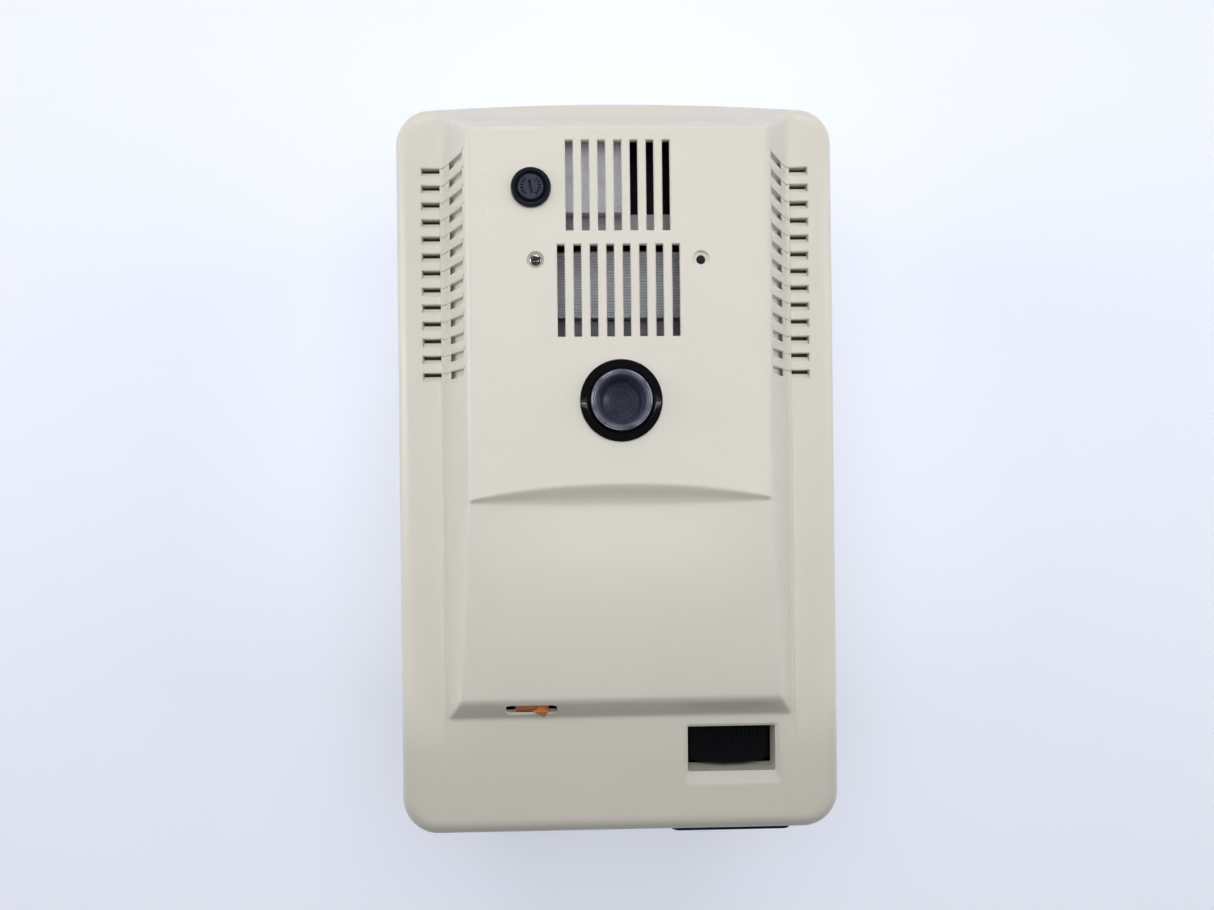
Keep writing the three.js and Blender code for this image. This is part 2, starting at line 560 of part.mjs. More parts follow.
piece('chassis_plate', cut(
  join(outlinePlate(WALL + 0.5, SPLIT_Z + GAP, CHASSIS_TOP), ...trays,
    ...standoffs.map((at) => rod('z', at, 3, CHASSIS_TOP - 0.5, BOARD.z - GAP, 8))),
  rod('z', [PORT.x, PORT.y], PORT.tubeR + 0.4, SPLIT_Z - 1, CHASSIS_TOP + 1, 32),
  rod('z', [PROBE.x, PROBE.y], 3, SPLIT_Z - 1, CHASSIS_TOP + 1, 16)), STEEL);

piece('circuit_board', cut(box(BOARD.x0, BOARD.x1, BOARD.y0, BOARD.y1, BOARD.z, boardTop),
  ...standoffs.map((at) => rod('z', at, 1.6, BOARD.z - 1, boardTop + 1, 8))), GREEN_BOARD);
piece('control_relay', box(-60, -41, -58, -30, boardTop + GAP, boardTop + 16), WHITE);
piece('filter_capacitor', turned([
  [0, boardTop + GAP], [8, boardTop + GAP], [8, boardTop + 30], [7.2, boardTop + 31], [0, boardTop + 31],
], -24, -44, 20), BLACK);

/** Finned heat sink: an upright web with fins. */
function heatSink() {
  const z0 = boardTop + GAP;
  const fins = [0, 1, 2, 3, 4].map((i) => box(-8, 12, -66 + i * 7, -64.4 + i * 7, z0, z0 + 28));
  return join(box(1, 3, -66, -36.4, z0, z0 + 28), ...fins);
}
piece('heat_sink', heatSink(), BLACK);

/** Terminal block: a long body with five wire openings in front. */
function terminalBlock() {
  const body = box(-64, -24, -14, -2, boardTop + GAP, boardTop + 13);
  const openings = [0, 1, 2, 3, 4].map((i) => {
    const x = -61.5 + i * 7.5;
    return box(x, x + 5, -16, -9, boardTop + 4, boardTop + 10);
  });
  return cut(body, ...openings);
}
piece('terminal_block', terminalBlock(), WHITE);

// Mains transformer: laminated core around a wound coil, on a folded steel stand.
const CORE = { halfW: 28.5, h: 48, y0: 63.8, y1: 91.8, z0: 150, leg: 9.5 };
const coreTop = CORE.z0 + CORE.h;
const coreMidY = (CORE.y0 + CORE.y1) / 2;
piece('transformer_core', cut(box(-CORE.halfW, CORE.halfW, CORE.y0, CORE.y1, CORE.z0, coreTop),
  ...[-1, 1].map((side) => {
    const xs = [side * CORE.leg, side * (CORE.halfW - CORE.leg)].sort((a, b) => a - b);
    return box(xs[0], xs[1], CORE.y0 - 1, CORE.y1 + 1, CORE.z0 + CORE.leg, coreTop - CORE.leg);
  })), CORE_STEEL);
piece('transformer_coil', cut(
  join(box(-18.6, 18.6, coreMidY - 22, coreMidY + 17, CORE.z0 + CORE.leg + GAP, coreTop - CORE.leg - GAP),
    box(-CORE.halfW, CORE.halfW, coreMidY - 23, CORE.y0 - GAP, coreTop - 12, coreTop - 6)),
  box(-CORE.leg - GAP, CORE.leg + GAP, CORE.y0 - GAP, CORE.y1 + GAP, CORE.z0, coreTop)), GREY_TAPE);
const standTop = CORE.z0 - GAP;
const standFoot = CHASSIS_TOP + GAP;
piece('transformer_bracket', prismY([
  [-42, standFoot + 1.5], [-28.5, standFoot + 1.5], [-28.5, standTop], [28.5, standTop],
  [28.5, standFoot + 1.5], [42, standFoot + 1.5], [42, standFoot], [27, standFoot],
  [27, standTop - 1.5], [-27, standTop - 1.5], [-27, standFoot], [-42, standFoot],
], 64, 78), STEEL);

// Cooling fan on edge, beside a light metal screen under the upper vents.
const FAN = { x0: 4.9, x1: 24.9, y: 127.2, z: 174, half: 20, r: 18.6, hubR: 9.5 };
const SCREEN = { x0: -24.5, x1: 4.6, y0: 105.7, y1: 139, top: SHOULDER_Z + 17.5, ledge: SHOULDER_Z + 8.5 };
piece('fan_bracket', join(
  box(SCREEN.x1 - 1.6, SCREEN.x1, SCREEN.y0, SCREEN.y1, CHASSIS_TOP + GAP, SCREEN.top),
  box(SCREEN.x0, SCREEN.x1, SCREEN.y0, SCREEN.y1, SCREEN.top - sheet, SCREEN.top),
  box(SCREEN.x0, SCREEN.x1, SCREEN.y0, SCREEN.y0 + sheet, SCREEN.ledge - sheet, SCREEN.top),
  box(SCREEN.x0, FAN.x1, SCREEN.y0 - 6.7, SCREEN.y0 + sheet, SCREEN.ledge - sheet, SCREEN.ledge),
  box(-10, SCREEN.x1, SCREEN.y0, SCREEN.y1, CHASSIS_TOP + GAP, CHASSIS_TOP + GAP + sheet)), LIGHT_METAL);

/** Fan frame: square housing with a round duct, and a motor mount on three arms. */
function fanFrame() {
  const { x0, x1, y, z, half, r, hubR } = FAN;
  const arms = [0, 1, 2].map((i) => {
    const arm = new THREE.BoxGeometry(2, 3, r + 1);
    arm.translate(x0 + 1, 0, (r + 1) / 2);
    arm.rotateX((i * 2 * Math.PI) / 3 + 0.3);
    arm.translate(0, y, z);
    return solid(arm);
  });
  const duct = rod('x', [y, z], r, x0 - 1, x1 + 1, 28);
  const housing = cut(box(x0, x1, y - half, y + half, z - half, z + half), duct);
  return join(housing, rod('x', [y, z], hubR, x0, x0 + 2.6, 20), ...arms);
}
piece('cooling_fan_frame', fanFrame(), BLACK);

/** Axial impeller about the x axis: a hub with flat, pitched blades. */
function fanImpeller(x0, x1, y, z, hubR, tipR, blades) {
  const parts = Array.from({ length: blades }, (_, i) => {
    const blade = new THREE.BoxGeometry(x1 - x0 - 3, 1, tipR - hubR + 1);
    blade.rotateZ(0.6);
    blade.translate((x0 + x1) / 2, 0, (tipR + hubR - 1) / 2);
    blade.rotateX((i * 2 * Math.PI) / blades);
    blade.translate(0, y, z);
    return solid(blade);
  });
  return join(rod('x', [y, z], hubR, x0, x1, 20), ...parts);
}
piece('cooling_fan_impeller',
  fanImpeller(FAN.x0 + 3.2, FAN.x1 - 1, FAN.y, FAN.z, FAN.hubR - 0.3, FAN.r - 1, 7), BLACK);

// Mains inlet, set square to the bowed rear wall.
const inletSlope = (2 * REAR_BOW * -INLET.x) / ((BODY_W / 2 - CORNER_R) ** 2);
const inlet = piece('mains_inlet', cut(
  join(box(-16, 16, 0, 2.6, -13, 13), box(-13.4, 13.4, -21, 1, -10, 10)),
  box(-11, 11, -14, 4, -7.5, 7.5)), BLACK);
inlet.position.set(INLET.x, REAR_Y - REAR_BOW * (INLET.x / (BODY_W / 2 - CORNER_R)) ** 2 + GAP, INLET.z);
inlet.rotation.z = inletSlope;

// ---------------------------------------------------------------- chamber

const liner = CHAMBER;
const skin = CHAMBER_SKIN;
const OUTER_HALF = liner.halfX + skin;

piece('chamber_liner', cut(
  join(box(-OUTER_HALF, OUTER_HALF, liner.y0, liner.y1 + skin, liner.z0 - skin, liner.z1 + skin),
    box(-82, 82, DOOR_BACK_Y - skin, DOOR_BACK_Y, 18, 122)),
  box(-liner.halfX, liner.halfX, liner.y0 - 5, liner.y1, liner.z0, liner.z1),
  rod('z', [PORT.x, PORT.y], PORT.boreR, liner.z1 - 1, liner.z1 + 4, 28),
  rod('z', [PROBE.x, PROBE.y], 2.6, liner.z1 - 1, liner.z1 + 4, 16),
  rod('y', [0, CHAMBER_MID_Z], 5, liner.y1 - 1, liner.y1 + 4, 20)), STAINLESS);

piece('insulation', cut(outlinePlate(3.4, FLOOR_Z + 3 + GAP, SPLIT_Z - GAP),
  box(-BODY_W, BODY_W, -BODY_D, -137.7, 0, 2 * SPLIT_Z),
  box(-OUTER_HALF - GAP, OUTER_HALF + GAP, -150, liner.y1 + skin + GAP,
    liner.z0 - skin - GAP, liner.z1 + skin + GAP),
  rod('z', [PORT.x, PORT.y], PORT.tubeR + 0.4, liner.z1, SPLIT_Z + 1, 28),
  rod('z', [PROBE.x, PROBE.y], 2.6, liner.z1, SPLIT_Z + 1, 12),
  rod('y', [0, CHAMBER_MID_Z], 20, liner.y1, 142)), FOAM);

// Circulation fan behind a baffle at the back of the chamber, with a heater ring around it.
const motorFront = liner.y1 + skin + GAP;
piece('circulation_motor', cut(
  join(rod('y', [0, CHAMBER_MID_Z], 18.5, motorFront, 136), rod('y', [0, CHAMBER_MID_Z], 6, 135, 140, 16)),
  rod('y', [0, CHAMBER_MID_Z], 2.3, motorFront - 1, 125, 16)), STEEL);

/** Six pitched blades on a hub, with the shaft that runs back into the motor. */
function circulationImpeller() {
  const blades = Array.from({ length: 6 }, (_, i) => {
    const blade = new THREE.BoxGeometry(16, 9, 1.4);
    blade.rotateX(0.5);
    blade.translate(14, 86, 0);
    blade.rotateY((i * Math.PI) / 3);
    blade.translate(0, 0, CHAMBER_MID_Z);
    return solid(blade);
  });
  const hub = rod('y', [0, CHAMBER_MID_Z], 7, 80.5, 91.5, 20);
  const shaft = rod('y', [0, CHAMBER_MID_Z], 2, 91, 120, 16);
  return join(hub, shaft, ...blades);
}
piece('circulation_impeller', circulationImpeller(), STAINLESS);

/** Rod bent into an open ring round the impeller, with both ends turned back to the rear wall. */
function heaterElement() {
  const heaterPath = new THREE.EllipseCurve(0, 0, 32, 32, -0.5 * Math.PI + 0.25, 1.5 * Math.PI - 0.25);
  const section = new THREE.Shape();
  section.absarc(0, 0, 3, 0, 2 * Math.PI);
  const points = heaterPath.getPoints(20).map((p) => new THREE.Vector3(p.x, 86, p.y + CHAMBER_MID_Z));
  const path = new THREE.CatmullRomCurve3(points);
  const sweep = { steps: 20, extrudePath: path, curveSegments: 4 };
  const loop = solid(new THREE.ExtrudeGeometry(section, sweep));
  const ends = [points[0], points[points.length - 1]];
  return join(loop, ...ends.map((p) => rod('y', [p.x, p.z], 2.6, 86, liner.y1 - GAP, 10)));
}
piece('heater_element', heaterElement(), STEEL);

/** Sheet in front of the circulation fan, with a grille and return slots at both sides. */
function rearBaffle() {
  const grille = [];
  for (let i = -3; i <= 3; i += 1) {
    const half = Math.sqrt(25 ** 2 - (i * 6.5) ** 2);
    grille.push(box(-half, half, 70, 80, CHAMBER_MID_Z + i * 6.5 - 2, CHAMBER_MID_Z + i * 6.5 + 2));
  }
  const sides = [-1, 1].flatMap((side) => [-24, -12, 0, 12, 24].map((z) => {
    const xs = [side * 52, side * 68].sort((a, b) => a - b);
    return box(xs[0], xs[1], 70, 80, CHAMBER_MID_Z + z - 2.5, CHAMBER_MID_Z + z + 2.5);
  }));
  return cut(box(-74.9, 74.9, 75, 76.4, liner.z0 + GAP, liner.z1 - GAP), ...grille, ...sides);
}
piece('rear_baffle', rearBaffle(), STAINLESS);

piece('temperature_probe', join(
  rod('z', [PROBE.x, PROBE.y], 2.2, 92, SPLIT_Z + 12, 12),
  rod('z', [PROBE.x, PROBE.y], 5, CHASSIS_TOP + GAP, CHASSIS_TOP + 5, 12)), STEEL);

const SHELF = { z: 60, y0: -128, y1: 70, halfX: 73.6 };
for (const [name, side] of [['shelf_rail_left', -1], ['shelf_rail_right', 1]]) {
  const wall = side * (liner.halfX - GAP);
  const outline = [[wall, SHELF.z - 8], [wall - side * 1.4, SHELF.z - 8], [wall - side * 1.4, SHELF.z - 2],
    [wall - side * 8, SHELF.z - 2], [wall - side * 8, SHELF.z - 0.6], [wall, SHELF.z - 0.6]];
  piece(name, prismY(side < 0 ? outline : outline.slice().reverse(), -130, 72), STAINLESS);
}

/** Slotted shelf with a raised front lip. */
function shelfPlate() {
  const slots = [];
  for (let i = -4; i <= 4; i += 1) {
    for (const y of [-118, -54, 10]) {
      slots.push(box(i * 14 - 3.5, i * 14 + 3.5, y, y + 52, SHELF.z - 2, SHELF.z + 3));
    }
  }
  const plate = join(box(-SHELF.halfX, SHELF.halfX, SHELF.y0, SHELF.y1, SHELF.z - GAP, SHELF.z + 1.1),
    box(-SHELF.halfX, SHELF.halfX, SHELF.y0, SHELF.y0 + 1.4, SHELF.z - GAP, SHELF.z + 8));
  return cut(plate, ...slots);
}
piece('shelf', shelfPlate(), STAINLESS);

// ---------------------------------------------------------------- lower housing and feet

const frameBack = DOOR_BACK_Y + GAP + 3;
const sillTop = FLOOR_Z + 3.7;

/** Box-shaped housing, open at the top and at the front where the door closes it. */
function lowerHousing() {
  const rearRoom = box(-BODY_W, BODY_W, frameBack, BODY_D, 0, 2 * SPLIT_Z);
  const cavity = outlinePlate(3, FLOOR_Z + 3, SPLIT_Z + 1).intersect(rearRoom);
  return cut(outlinePlate(0, FLOOR_Z, SPLIT_Z), cavity,
    box(DOOR.x0 - 0.5, BODY_W, -BODY_D, DOOR_BACK_Y + GAP, sillTop, SPLIT_Z + 1),
    box(-77.2, 77.2, -BODY_D, frameBack + 1, 22.8, 117.2));
}
piece('lower_housing', lowerHousing(), BEIGE);

const FOOT = { x: 78, y: 132, r: 10 };
for (const [row, y] of [['front', -FOOT.y], ['rear', FOOT.y]]) {
  for (const [side, x] of [['left', -FOOT.x], ['right', FOOT.x]]) {
    const profile = [[0, 0], [FOOT.r - 1.5, 0], [FOOT.r, FLOOR_Z - GAP], [0, FLOOR_Z - GAP]];
    piece(`foot_${row}_${side}`, turned(profile, x, y, 20), RUBBER);
  }
}

// ---------------------------------------------------------------- door

const PANE = { halfX: 60, halfZ: 33, z: CHAMBER_MID_Z };

/** Door shell: moulded slab with a rounded free edge, a window, and knuckles on its hinge side. */
function doorShell() {
  const slab = outlinePlate(0, DOOR.z0, DOOR.z1).intersect(
    box(DOOR.x0, DOOR.x1, -BODY_D, DOOR_RIM_BACK_Y, DOOR.z0, DOOR.z1));
  const pocket = box(DOOR.x0 + 3, DOOR.x1 - 3, DOOR.y1, 0, DOOR.z0 + 3, DOOR.z1 - 3);
  const knuckles = HINGE.heights.flatMap((z) => [-1, 1].map((side) => {
    const z0 = z + (side < 0 ? -9 : 3.3);
    return join(rod('z', [HINGE.x, HINGE.y], HINGE.eyeR, z0, z0 + 5.7, 16),
      box(HINGE.x - 1.6, HINGE.x + 2.8, HINGE.y, FRONT_Y + 1, z0, z0 + 5.7));
  }));
  const boreR = HINGE.pinR + 0.3;
  const bores = HINGE.heights.map((z) => rod('z', [HINGE.x, HINGE.y], boreR, z - 12, z + 12, 12));
  return cut(join(cut(slab, pocket), ...knuckles),
    box(-PANE.halfX, PANE.halfX, -BODY_D, 0, PANE.z - PANE.halfZ, PANE.z + PANE.halfZ),
    box(-PANE.halfX - 6, PANE.halfX + 6, DOOR.y1 - 3.3, 0,
      PANE.z - PANE.halfZ - 6, PANE.z + PANE.halfZ + 6),
    ...bores);
}
piece('door_shell', doorShell(), BEIGE);

piece('door_window', box(-PANE.halfX - 5.5, PANE.halfX + 5.5, DOOR.y1 - 3, DOOR.y1,
  PANE.z - PANE.halfZ - 5.5, PANE.z + PANE.halfZ + 5.5), GLASS);
piece('door_liner', cut(box(-81, 81, DOOR.y1 + GAP, -146.3, 18, 122),
  box(-PANE.halfX, PANE.halfX, DOOR.y1 - 1, -140, PANE.z - PANE.halfZ, PANE.z + PANE.halfZ)), STAINLESS);
piece('door_gasket', cut(box(-81, 81, -146, -143, 19, 121),
  box(-77.5, 77.5, -147, -140, 22.5, 117.5)), SILICONE);

piece('door_handle', join(
  box(76, 86, -173.6, -168, 40, 100),
  box(77.5, 84.5, -169, FRONT_Y - GAP, 41.5, 49),
  box(77.5, 84.5, -169, FRONT_Y - GAP, 91, 98.5)), BLACK);

piece('door_magnet', box(84.5, 91, DOOR.y1 + GAP, -143.2, 55, 85), RUBBER);
piece('strike_plate', box(84.5, 91, -142.6, DOOR_BACK_Y, 53, 87), STEEL);

for (const [name, z] of [['hinge_lower', HINGE.heights[0]], ['hinge_upper', HINGE.heights[1]]]) {
  piece(name, join(box(-94, -87.6, FRONT_Y - 1.6, FRONT_Y - GAP, z - 8, z + 8),
    box(-90, HINGE.x, HINGE.y - 1, HINGE.y + 2.2, z - 3, z + 3),
    rod('z', [HINGE.x, HINGE.y], HINGE.eyeR, z - 3, z + 3, 16),
    rod('z', [HINGE.x, HINGE.y], HINGE.pinR, z - 9, z + 9, 12)), BRASS);
}

// ---------------------------------------------------------------- origin under the middle of the box

const bounds = new THREE.Box3().setFromObject(model);
model.position.set(-(bounds.min.x + bounds.max.x) / 2, -(bounds.min.y + bounds.max.y) / 2, -bounds.min.z);

export default model;
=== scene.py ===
"""Looks of the bench-top incubator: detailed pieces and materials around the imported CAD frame."""

import math

import bmesh
import bpy
import numpy as np
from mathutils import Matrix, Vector


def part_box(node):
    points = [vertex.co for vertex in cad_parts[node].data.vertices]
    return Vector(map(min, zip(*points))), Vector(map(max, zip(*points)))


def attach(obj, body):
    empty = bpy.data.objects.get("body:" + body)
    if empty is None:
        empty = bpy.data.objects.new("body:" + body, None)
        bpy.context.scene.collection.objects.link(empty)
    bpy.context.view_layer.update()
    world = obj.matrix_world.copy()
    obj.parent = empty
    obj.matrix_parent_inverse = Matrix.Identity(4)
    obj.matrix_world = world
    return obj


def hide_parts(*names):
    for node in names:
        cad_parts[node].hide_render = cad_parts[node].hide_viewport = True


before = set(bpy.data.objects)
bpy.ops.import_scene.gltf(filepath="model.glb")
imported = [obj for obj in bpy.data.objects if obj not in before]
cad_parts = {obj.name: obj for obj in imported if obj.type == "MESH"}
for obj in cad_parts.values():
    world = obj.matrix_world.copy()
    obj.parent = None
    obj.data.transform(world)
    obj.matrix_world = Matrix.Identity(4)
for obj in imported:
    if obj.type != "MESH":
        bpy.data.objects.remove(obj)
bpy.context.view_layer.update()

MM = 0.001
WELD = 2e-6  # points closer than this many metres are one
FLAT_ANGLE = math.radians(0.6)  # faces that meet at less are one face
EDGE_ANGLE = math.radians(30)  # edges that are sharper get rounded
FRONT_Y = -160.2  # the casing's front and rear in body millimetres
REAR_Y = 160.2
SHIFT_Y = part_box("top_cover")[0].y / MM - FRONT_Y  # body y to frame y, in millimetres

HALF_W = 96.0
CORNER_R = 16.0
REAR_BOW = 2.6
SPLIT_Z = 126.3
SHOULDER_Z = 192.0
FILLET_R = 8.0
WALL = 2.8
HUMP_H = 27.0
HUMP_TOP = SHOULDER_Z + HUMP_H
HUMP_HALF_FOOT = 74.4
HUMP_HALF_TOP = 61.0
HUMP_REAR_Y = 138.8
HUMP_REAR_SLOPE = 2.045
STEP_Y = -14.0
STEP_H = 25.6
LIP_Y = -98.8
LIP_H = 12.5
PANEL_CROWN = 1.2
STEP_TOP_Y, STEP_TOP_BOW = -12.6, 6.2  # the step's upper edge: y at the sides, and how far it bows back
STEP_FOOT_Y, STEP_FOOT_BOW = -14.2, 2.2  # its lower edge, which bows forwards
DISH_DEPTH = 4.3
DISH_REACH = 26
SHOULDER_DISH = 0.95
RIB = {"x": 76.4, "half": 0.85, "height": 0.75}
RISER_FOOT_Y = -108.0

SIDE_VENTS = {
    "count": 13, "first": 128.4, "pitch": 7.4, "width": 3.25, "wall": (63.5, 71.0), "shoulder": (76.2, 84.1),
}
LOUVRE_DEPTH = 5.2  # from the shoulder down to the underside of the louvres
LOUVRE_GAP = 1.45  # the way through a shoulder vent, behind its sloping front face
LOUVRE_FALL = (2.0, 3.2)  # depth of the sloping face at its front and rear edges
UPPER_VENTS = {"count": 7, "pitch": 6.55, "width": 3.1, "y0": 96.1, "y1": 132.6}
LOWER_VENTS = {"count": 8, "pitch": 6.67, "width": 3.1, "y0": 53.1, "y1": 90.4}
FUSE = (-35.1, 113.3)
SCREW = (33.6, 84.2)
PORT = (0.5, 27.1)
WINDOW = {"x0": 29.0, "x1": 67.4, "y0": -133.6, "y1": -113.9, "skirt": 13.3}
WHEEL = {"x": 48.2, "z": 157.5, "r": 28.0, "y0": -132.4, "y1": -114.6}
SLOT = {"x0": -49.3, "x1": -27.6, "z0": 2.7, "z1": 9.9}
SLOT_SKIN = 0.9
POCKET = {"x0": -60.8, "x1": -25.2, "low": 1.7, "high": 11.5, "depth": 5.5}
PANEL_OPENING = {"x0": 55.2, "x1": 68.8, "z0": 156.2, "z1": 175.8}
LAMPS = {"x": (33, 45), "z": 166, "r": 3.4}
INLET_OPENING = {"x0": -59.5, "x1": -30.5, "z0": 139, "z1": 161}


# ---------------------------------------------------------------- mesh building (body millimetres)


def merge(*shapes):
    """Several (points, faces) as one."""
    points, faces = [], []
    for pts, fcs in shapes:
        start = len(points)
        points.extend(tuple(p) for p in pts)
        faces.extend(tuple(start + i for i in f) for f in fcs)
    return points, faces


def loft(rings):
    """Closed skin over rings of equal length, with capped ends."""
    n = len(rings[0])
    points = [tuple(p) for r in rings for p in r]
    faces = []
    count = len(rings)
    for k in range(count - 1):
        a, b = k * n, (k + 1) * n
        faces.extend((a + i, a + (i + 1) % n, b + (i + 1) % n, b + i) for i in range(n))
    faces.append(tuple(reversed(range(n))))
    faces.append(tuple(range((count - 1) * n, count * n)))
    return points, faces


AXES = {
    "x": lambda u, v, w: (w, u, v),
    "y": lambda u, v, w: (v, w, u),
    "z": lambda u, v, w: (u, v, w),
}


def prism(axis, outline, a, b):
    """Outline extruded along an axis: (y, z) along x, (z, x) along y, (x, y) along z."""
    at = AXES[axis]
    return loft([[at(u, v, w) for u, v in outline] for w in (a, b)])


def turned(profile, centre, axis="z", segments=72, ring=False):
    """Turned body: (radius, height) points about an axis through centre; a ring closes on itself."""
    at = AXES[axis]
    cu, cv = centre
    angles = [2 * math.pi * i / segments for i in range(segments)]
    points, rows = [], []
    for r, h in profile:
        if r < 1e-9:
            rows.append([len(points)] * segments)
            points.append(at(cu, cv, h))
        else:
            rows.append([len(points) + i for i in range(segments)])
            points.extend(at(cu + r * math.cos(t), cv + r * math.sin(t), h) for t in angles)
    faces = []
    pairs = list(zip(rows, rows[1:] + rows[:1] if ring else rows[1:]))
    for low, high in pairs:
        for i in range(segments):
            j = (i + 1) % segments
            quad = [low[i], low[j], high[j], high[i]]
            face = tuple(dict.fromkeys(quad))
            if len(face) > 2:
                faces.append(face)
    return points, faces


def rounded_rect(u0, u1, v0, v1, r, steps=6):
    """Anticlockwise outline of a rectangle with round corners."""
    corners = [(u1 - r, v0 + r, -90), (u1 - r, v1 - r, 0), (u0 + r, v1 - r, 90), (u0 + r, v0 + r, 180)]
    outline = []
    for cu, cv, first in corners:
        for i in range(steps + 1):
            t = math.radians(first + 90 * i / steps)
            outline.append((cu + r * math.cos(t), cv + r * math.sin(t)))
    return outline


def new_mesh(name, shape):
    """Mesh in frame metres from a shape in body millimetres, with its faces turned outwards."""
    points, faces = shape
    co = np.array(points, float)
    co[:, 1] += SHIFT_Y
    mesh = bpy.data.meshes.new(name)
    mesh.from_pydata((co * MM).tolist(), [], faces)
    bm = bmesh.new()
    bm.from_mesh(mesh)
    bmesh.ops.remove_doubles(bm, verts=bm.verts, dist=1e-7)
    bmesh.ops.recalc_face_normals(bm, faces=bm.faces)
    bm.to_mesh(mesh)
    bm.free()
    return mesh


def new_object(name, shape):
    obj = bpy.data.objects.new(name, new_mesh(name, shape))
    bpy.context.scene.collection.objects.link(obj)
    return obj


def apply_modifiers(obj):
    """Bakes an object's modifiers into its mesh."""
    bpy.context.view_layer.update()
    graph = bpy.context.evaluated_depsgraph_get()
    mesh = bpy.data.meshes.new_from_object(obj.evaluated_get(graph))
    obj.modifiers.clear()
    old = obj.data
    obj.data = mesh
    bpy.data.meshes.remove(old)


def combine(obj, shape, operation="DIFFERENCE"):
    """Boolean of an object with a shape, applied."""
    tool = new_object("tool", shape)
    mod = obj.modifiers.new("cut", "BOOLEAN")
    mod.operation = operation
    mod.solver = "MANIFOLD"
    mod.object = tool
    apply_modifiers(obj)
    mesh = tool.data
    bpy.data.objects.remove(tool)
    bpy.data.meshes.remove(mesh)


def cut(obj, *shapes):
    """Takes each shape away from an object in turn."""
    for shape in shapes:
        combine(obj, shape)


def soften(obj, width):
    """Rounds every edge sharper than a limit, width in millimetres."""
    bm = bmesh.new()
    bm.from_mesh(obj.data)
    bmesh.ops.remove_doubles(bm, verts=bm.verts, dist=WELD)
    bmesh.ops.dissolve_limit(bm, angle_limit=FLAT_ANGLE, verts=bm.verts, edges=bm.edges)
    edges = [e for e in bm.edges if len(e.link_faces) == 2 and e.calc_face_angle(0) > EDGE_ANGLE]
    if edges:
        bmesh.ops.bevel(
            bm,
            geom=edges,
            offset=width * MM,
            offset_type="OFFSET",
            segments=2,
            profile=0.5,
            affect="EDGES",
            clamp_overlap=True,
        )
    bmesh.ops.recalc_face_normals(bm, faces=bm.faces)
    bm.to_mesh(obj.data)
    bm.free()


def shade(obj, angle):
    """Smooth shading, kept sharp at edges over an angle in degrees."""
    mesh = obj.data
    mesh.polygons.foreach_set("use_smooth", [True] * len(mesh.polygons))
    mesh.set_sharp_from_angle(angle=math.radians(angle))
    mesh.update()


def place(obj, body, slot, finish, *nodes, angle=30):
    """Gives a piece its finish and the CAD body it rides on, and hides the CAD nodes it replaces; the slot
    argument is not used.
    """
    shade(obj, angle)
    obj.data.materials.clear()
    obj.data.materials.append(MATERIALS[finish])
    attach(obj, body)
    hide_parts(*nodes)


def from_node(name, node, width):
    """New piece with a CAD node's exact shape and softened edges."""
    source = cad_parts[node].data
    mesh = bpy.data.meshes.new(name)
    bm = bmesh.new()
    bm.from_mesh(source)
    bmesh.ops.remove_doubles(bm, verts=bm.verts, dist=WELD)
    bm.to_mesh(mesh)
    bm.free()
    obj = bpy.data.objects.new(name, mesh)
    bpy.context.scene.collection.objects.link(obj)
    for attribute in ("custom_normal", "sharp_face", "sharp_edge"):
        if attribute in mesh.attributes:
            mesh.attributes.remove(mesh.attributes[attribute])
    if width > 0:
        soften(obj, width)
    return obj


# ---------------------------------------------------------------- materials


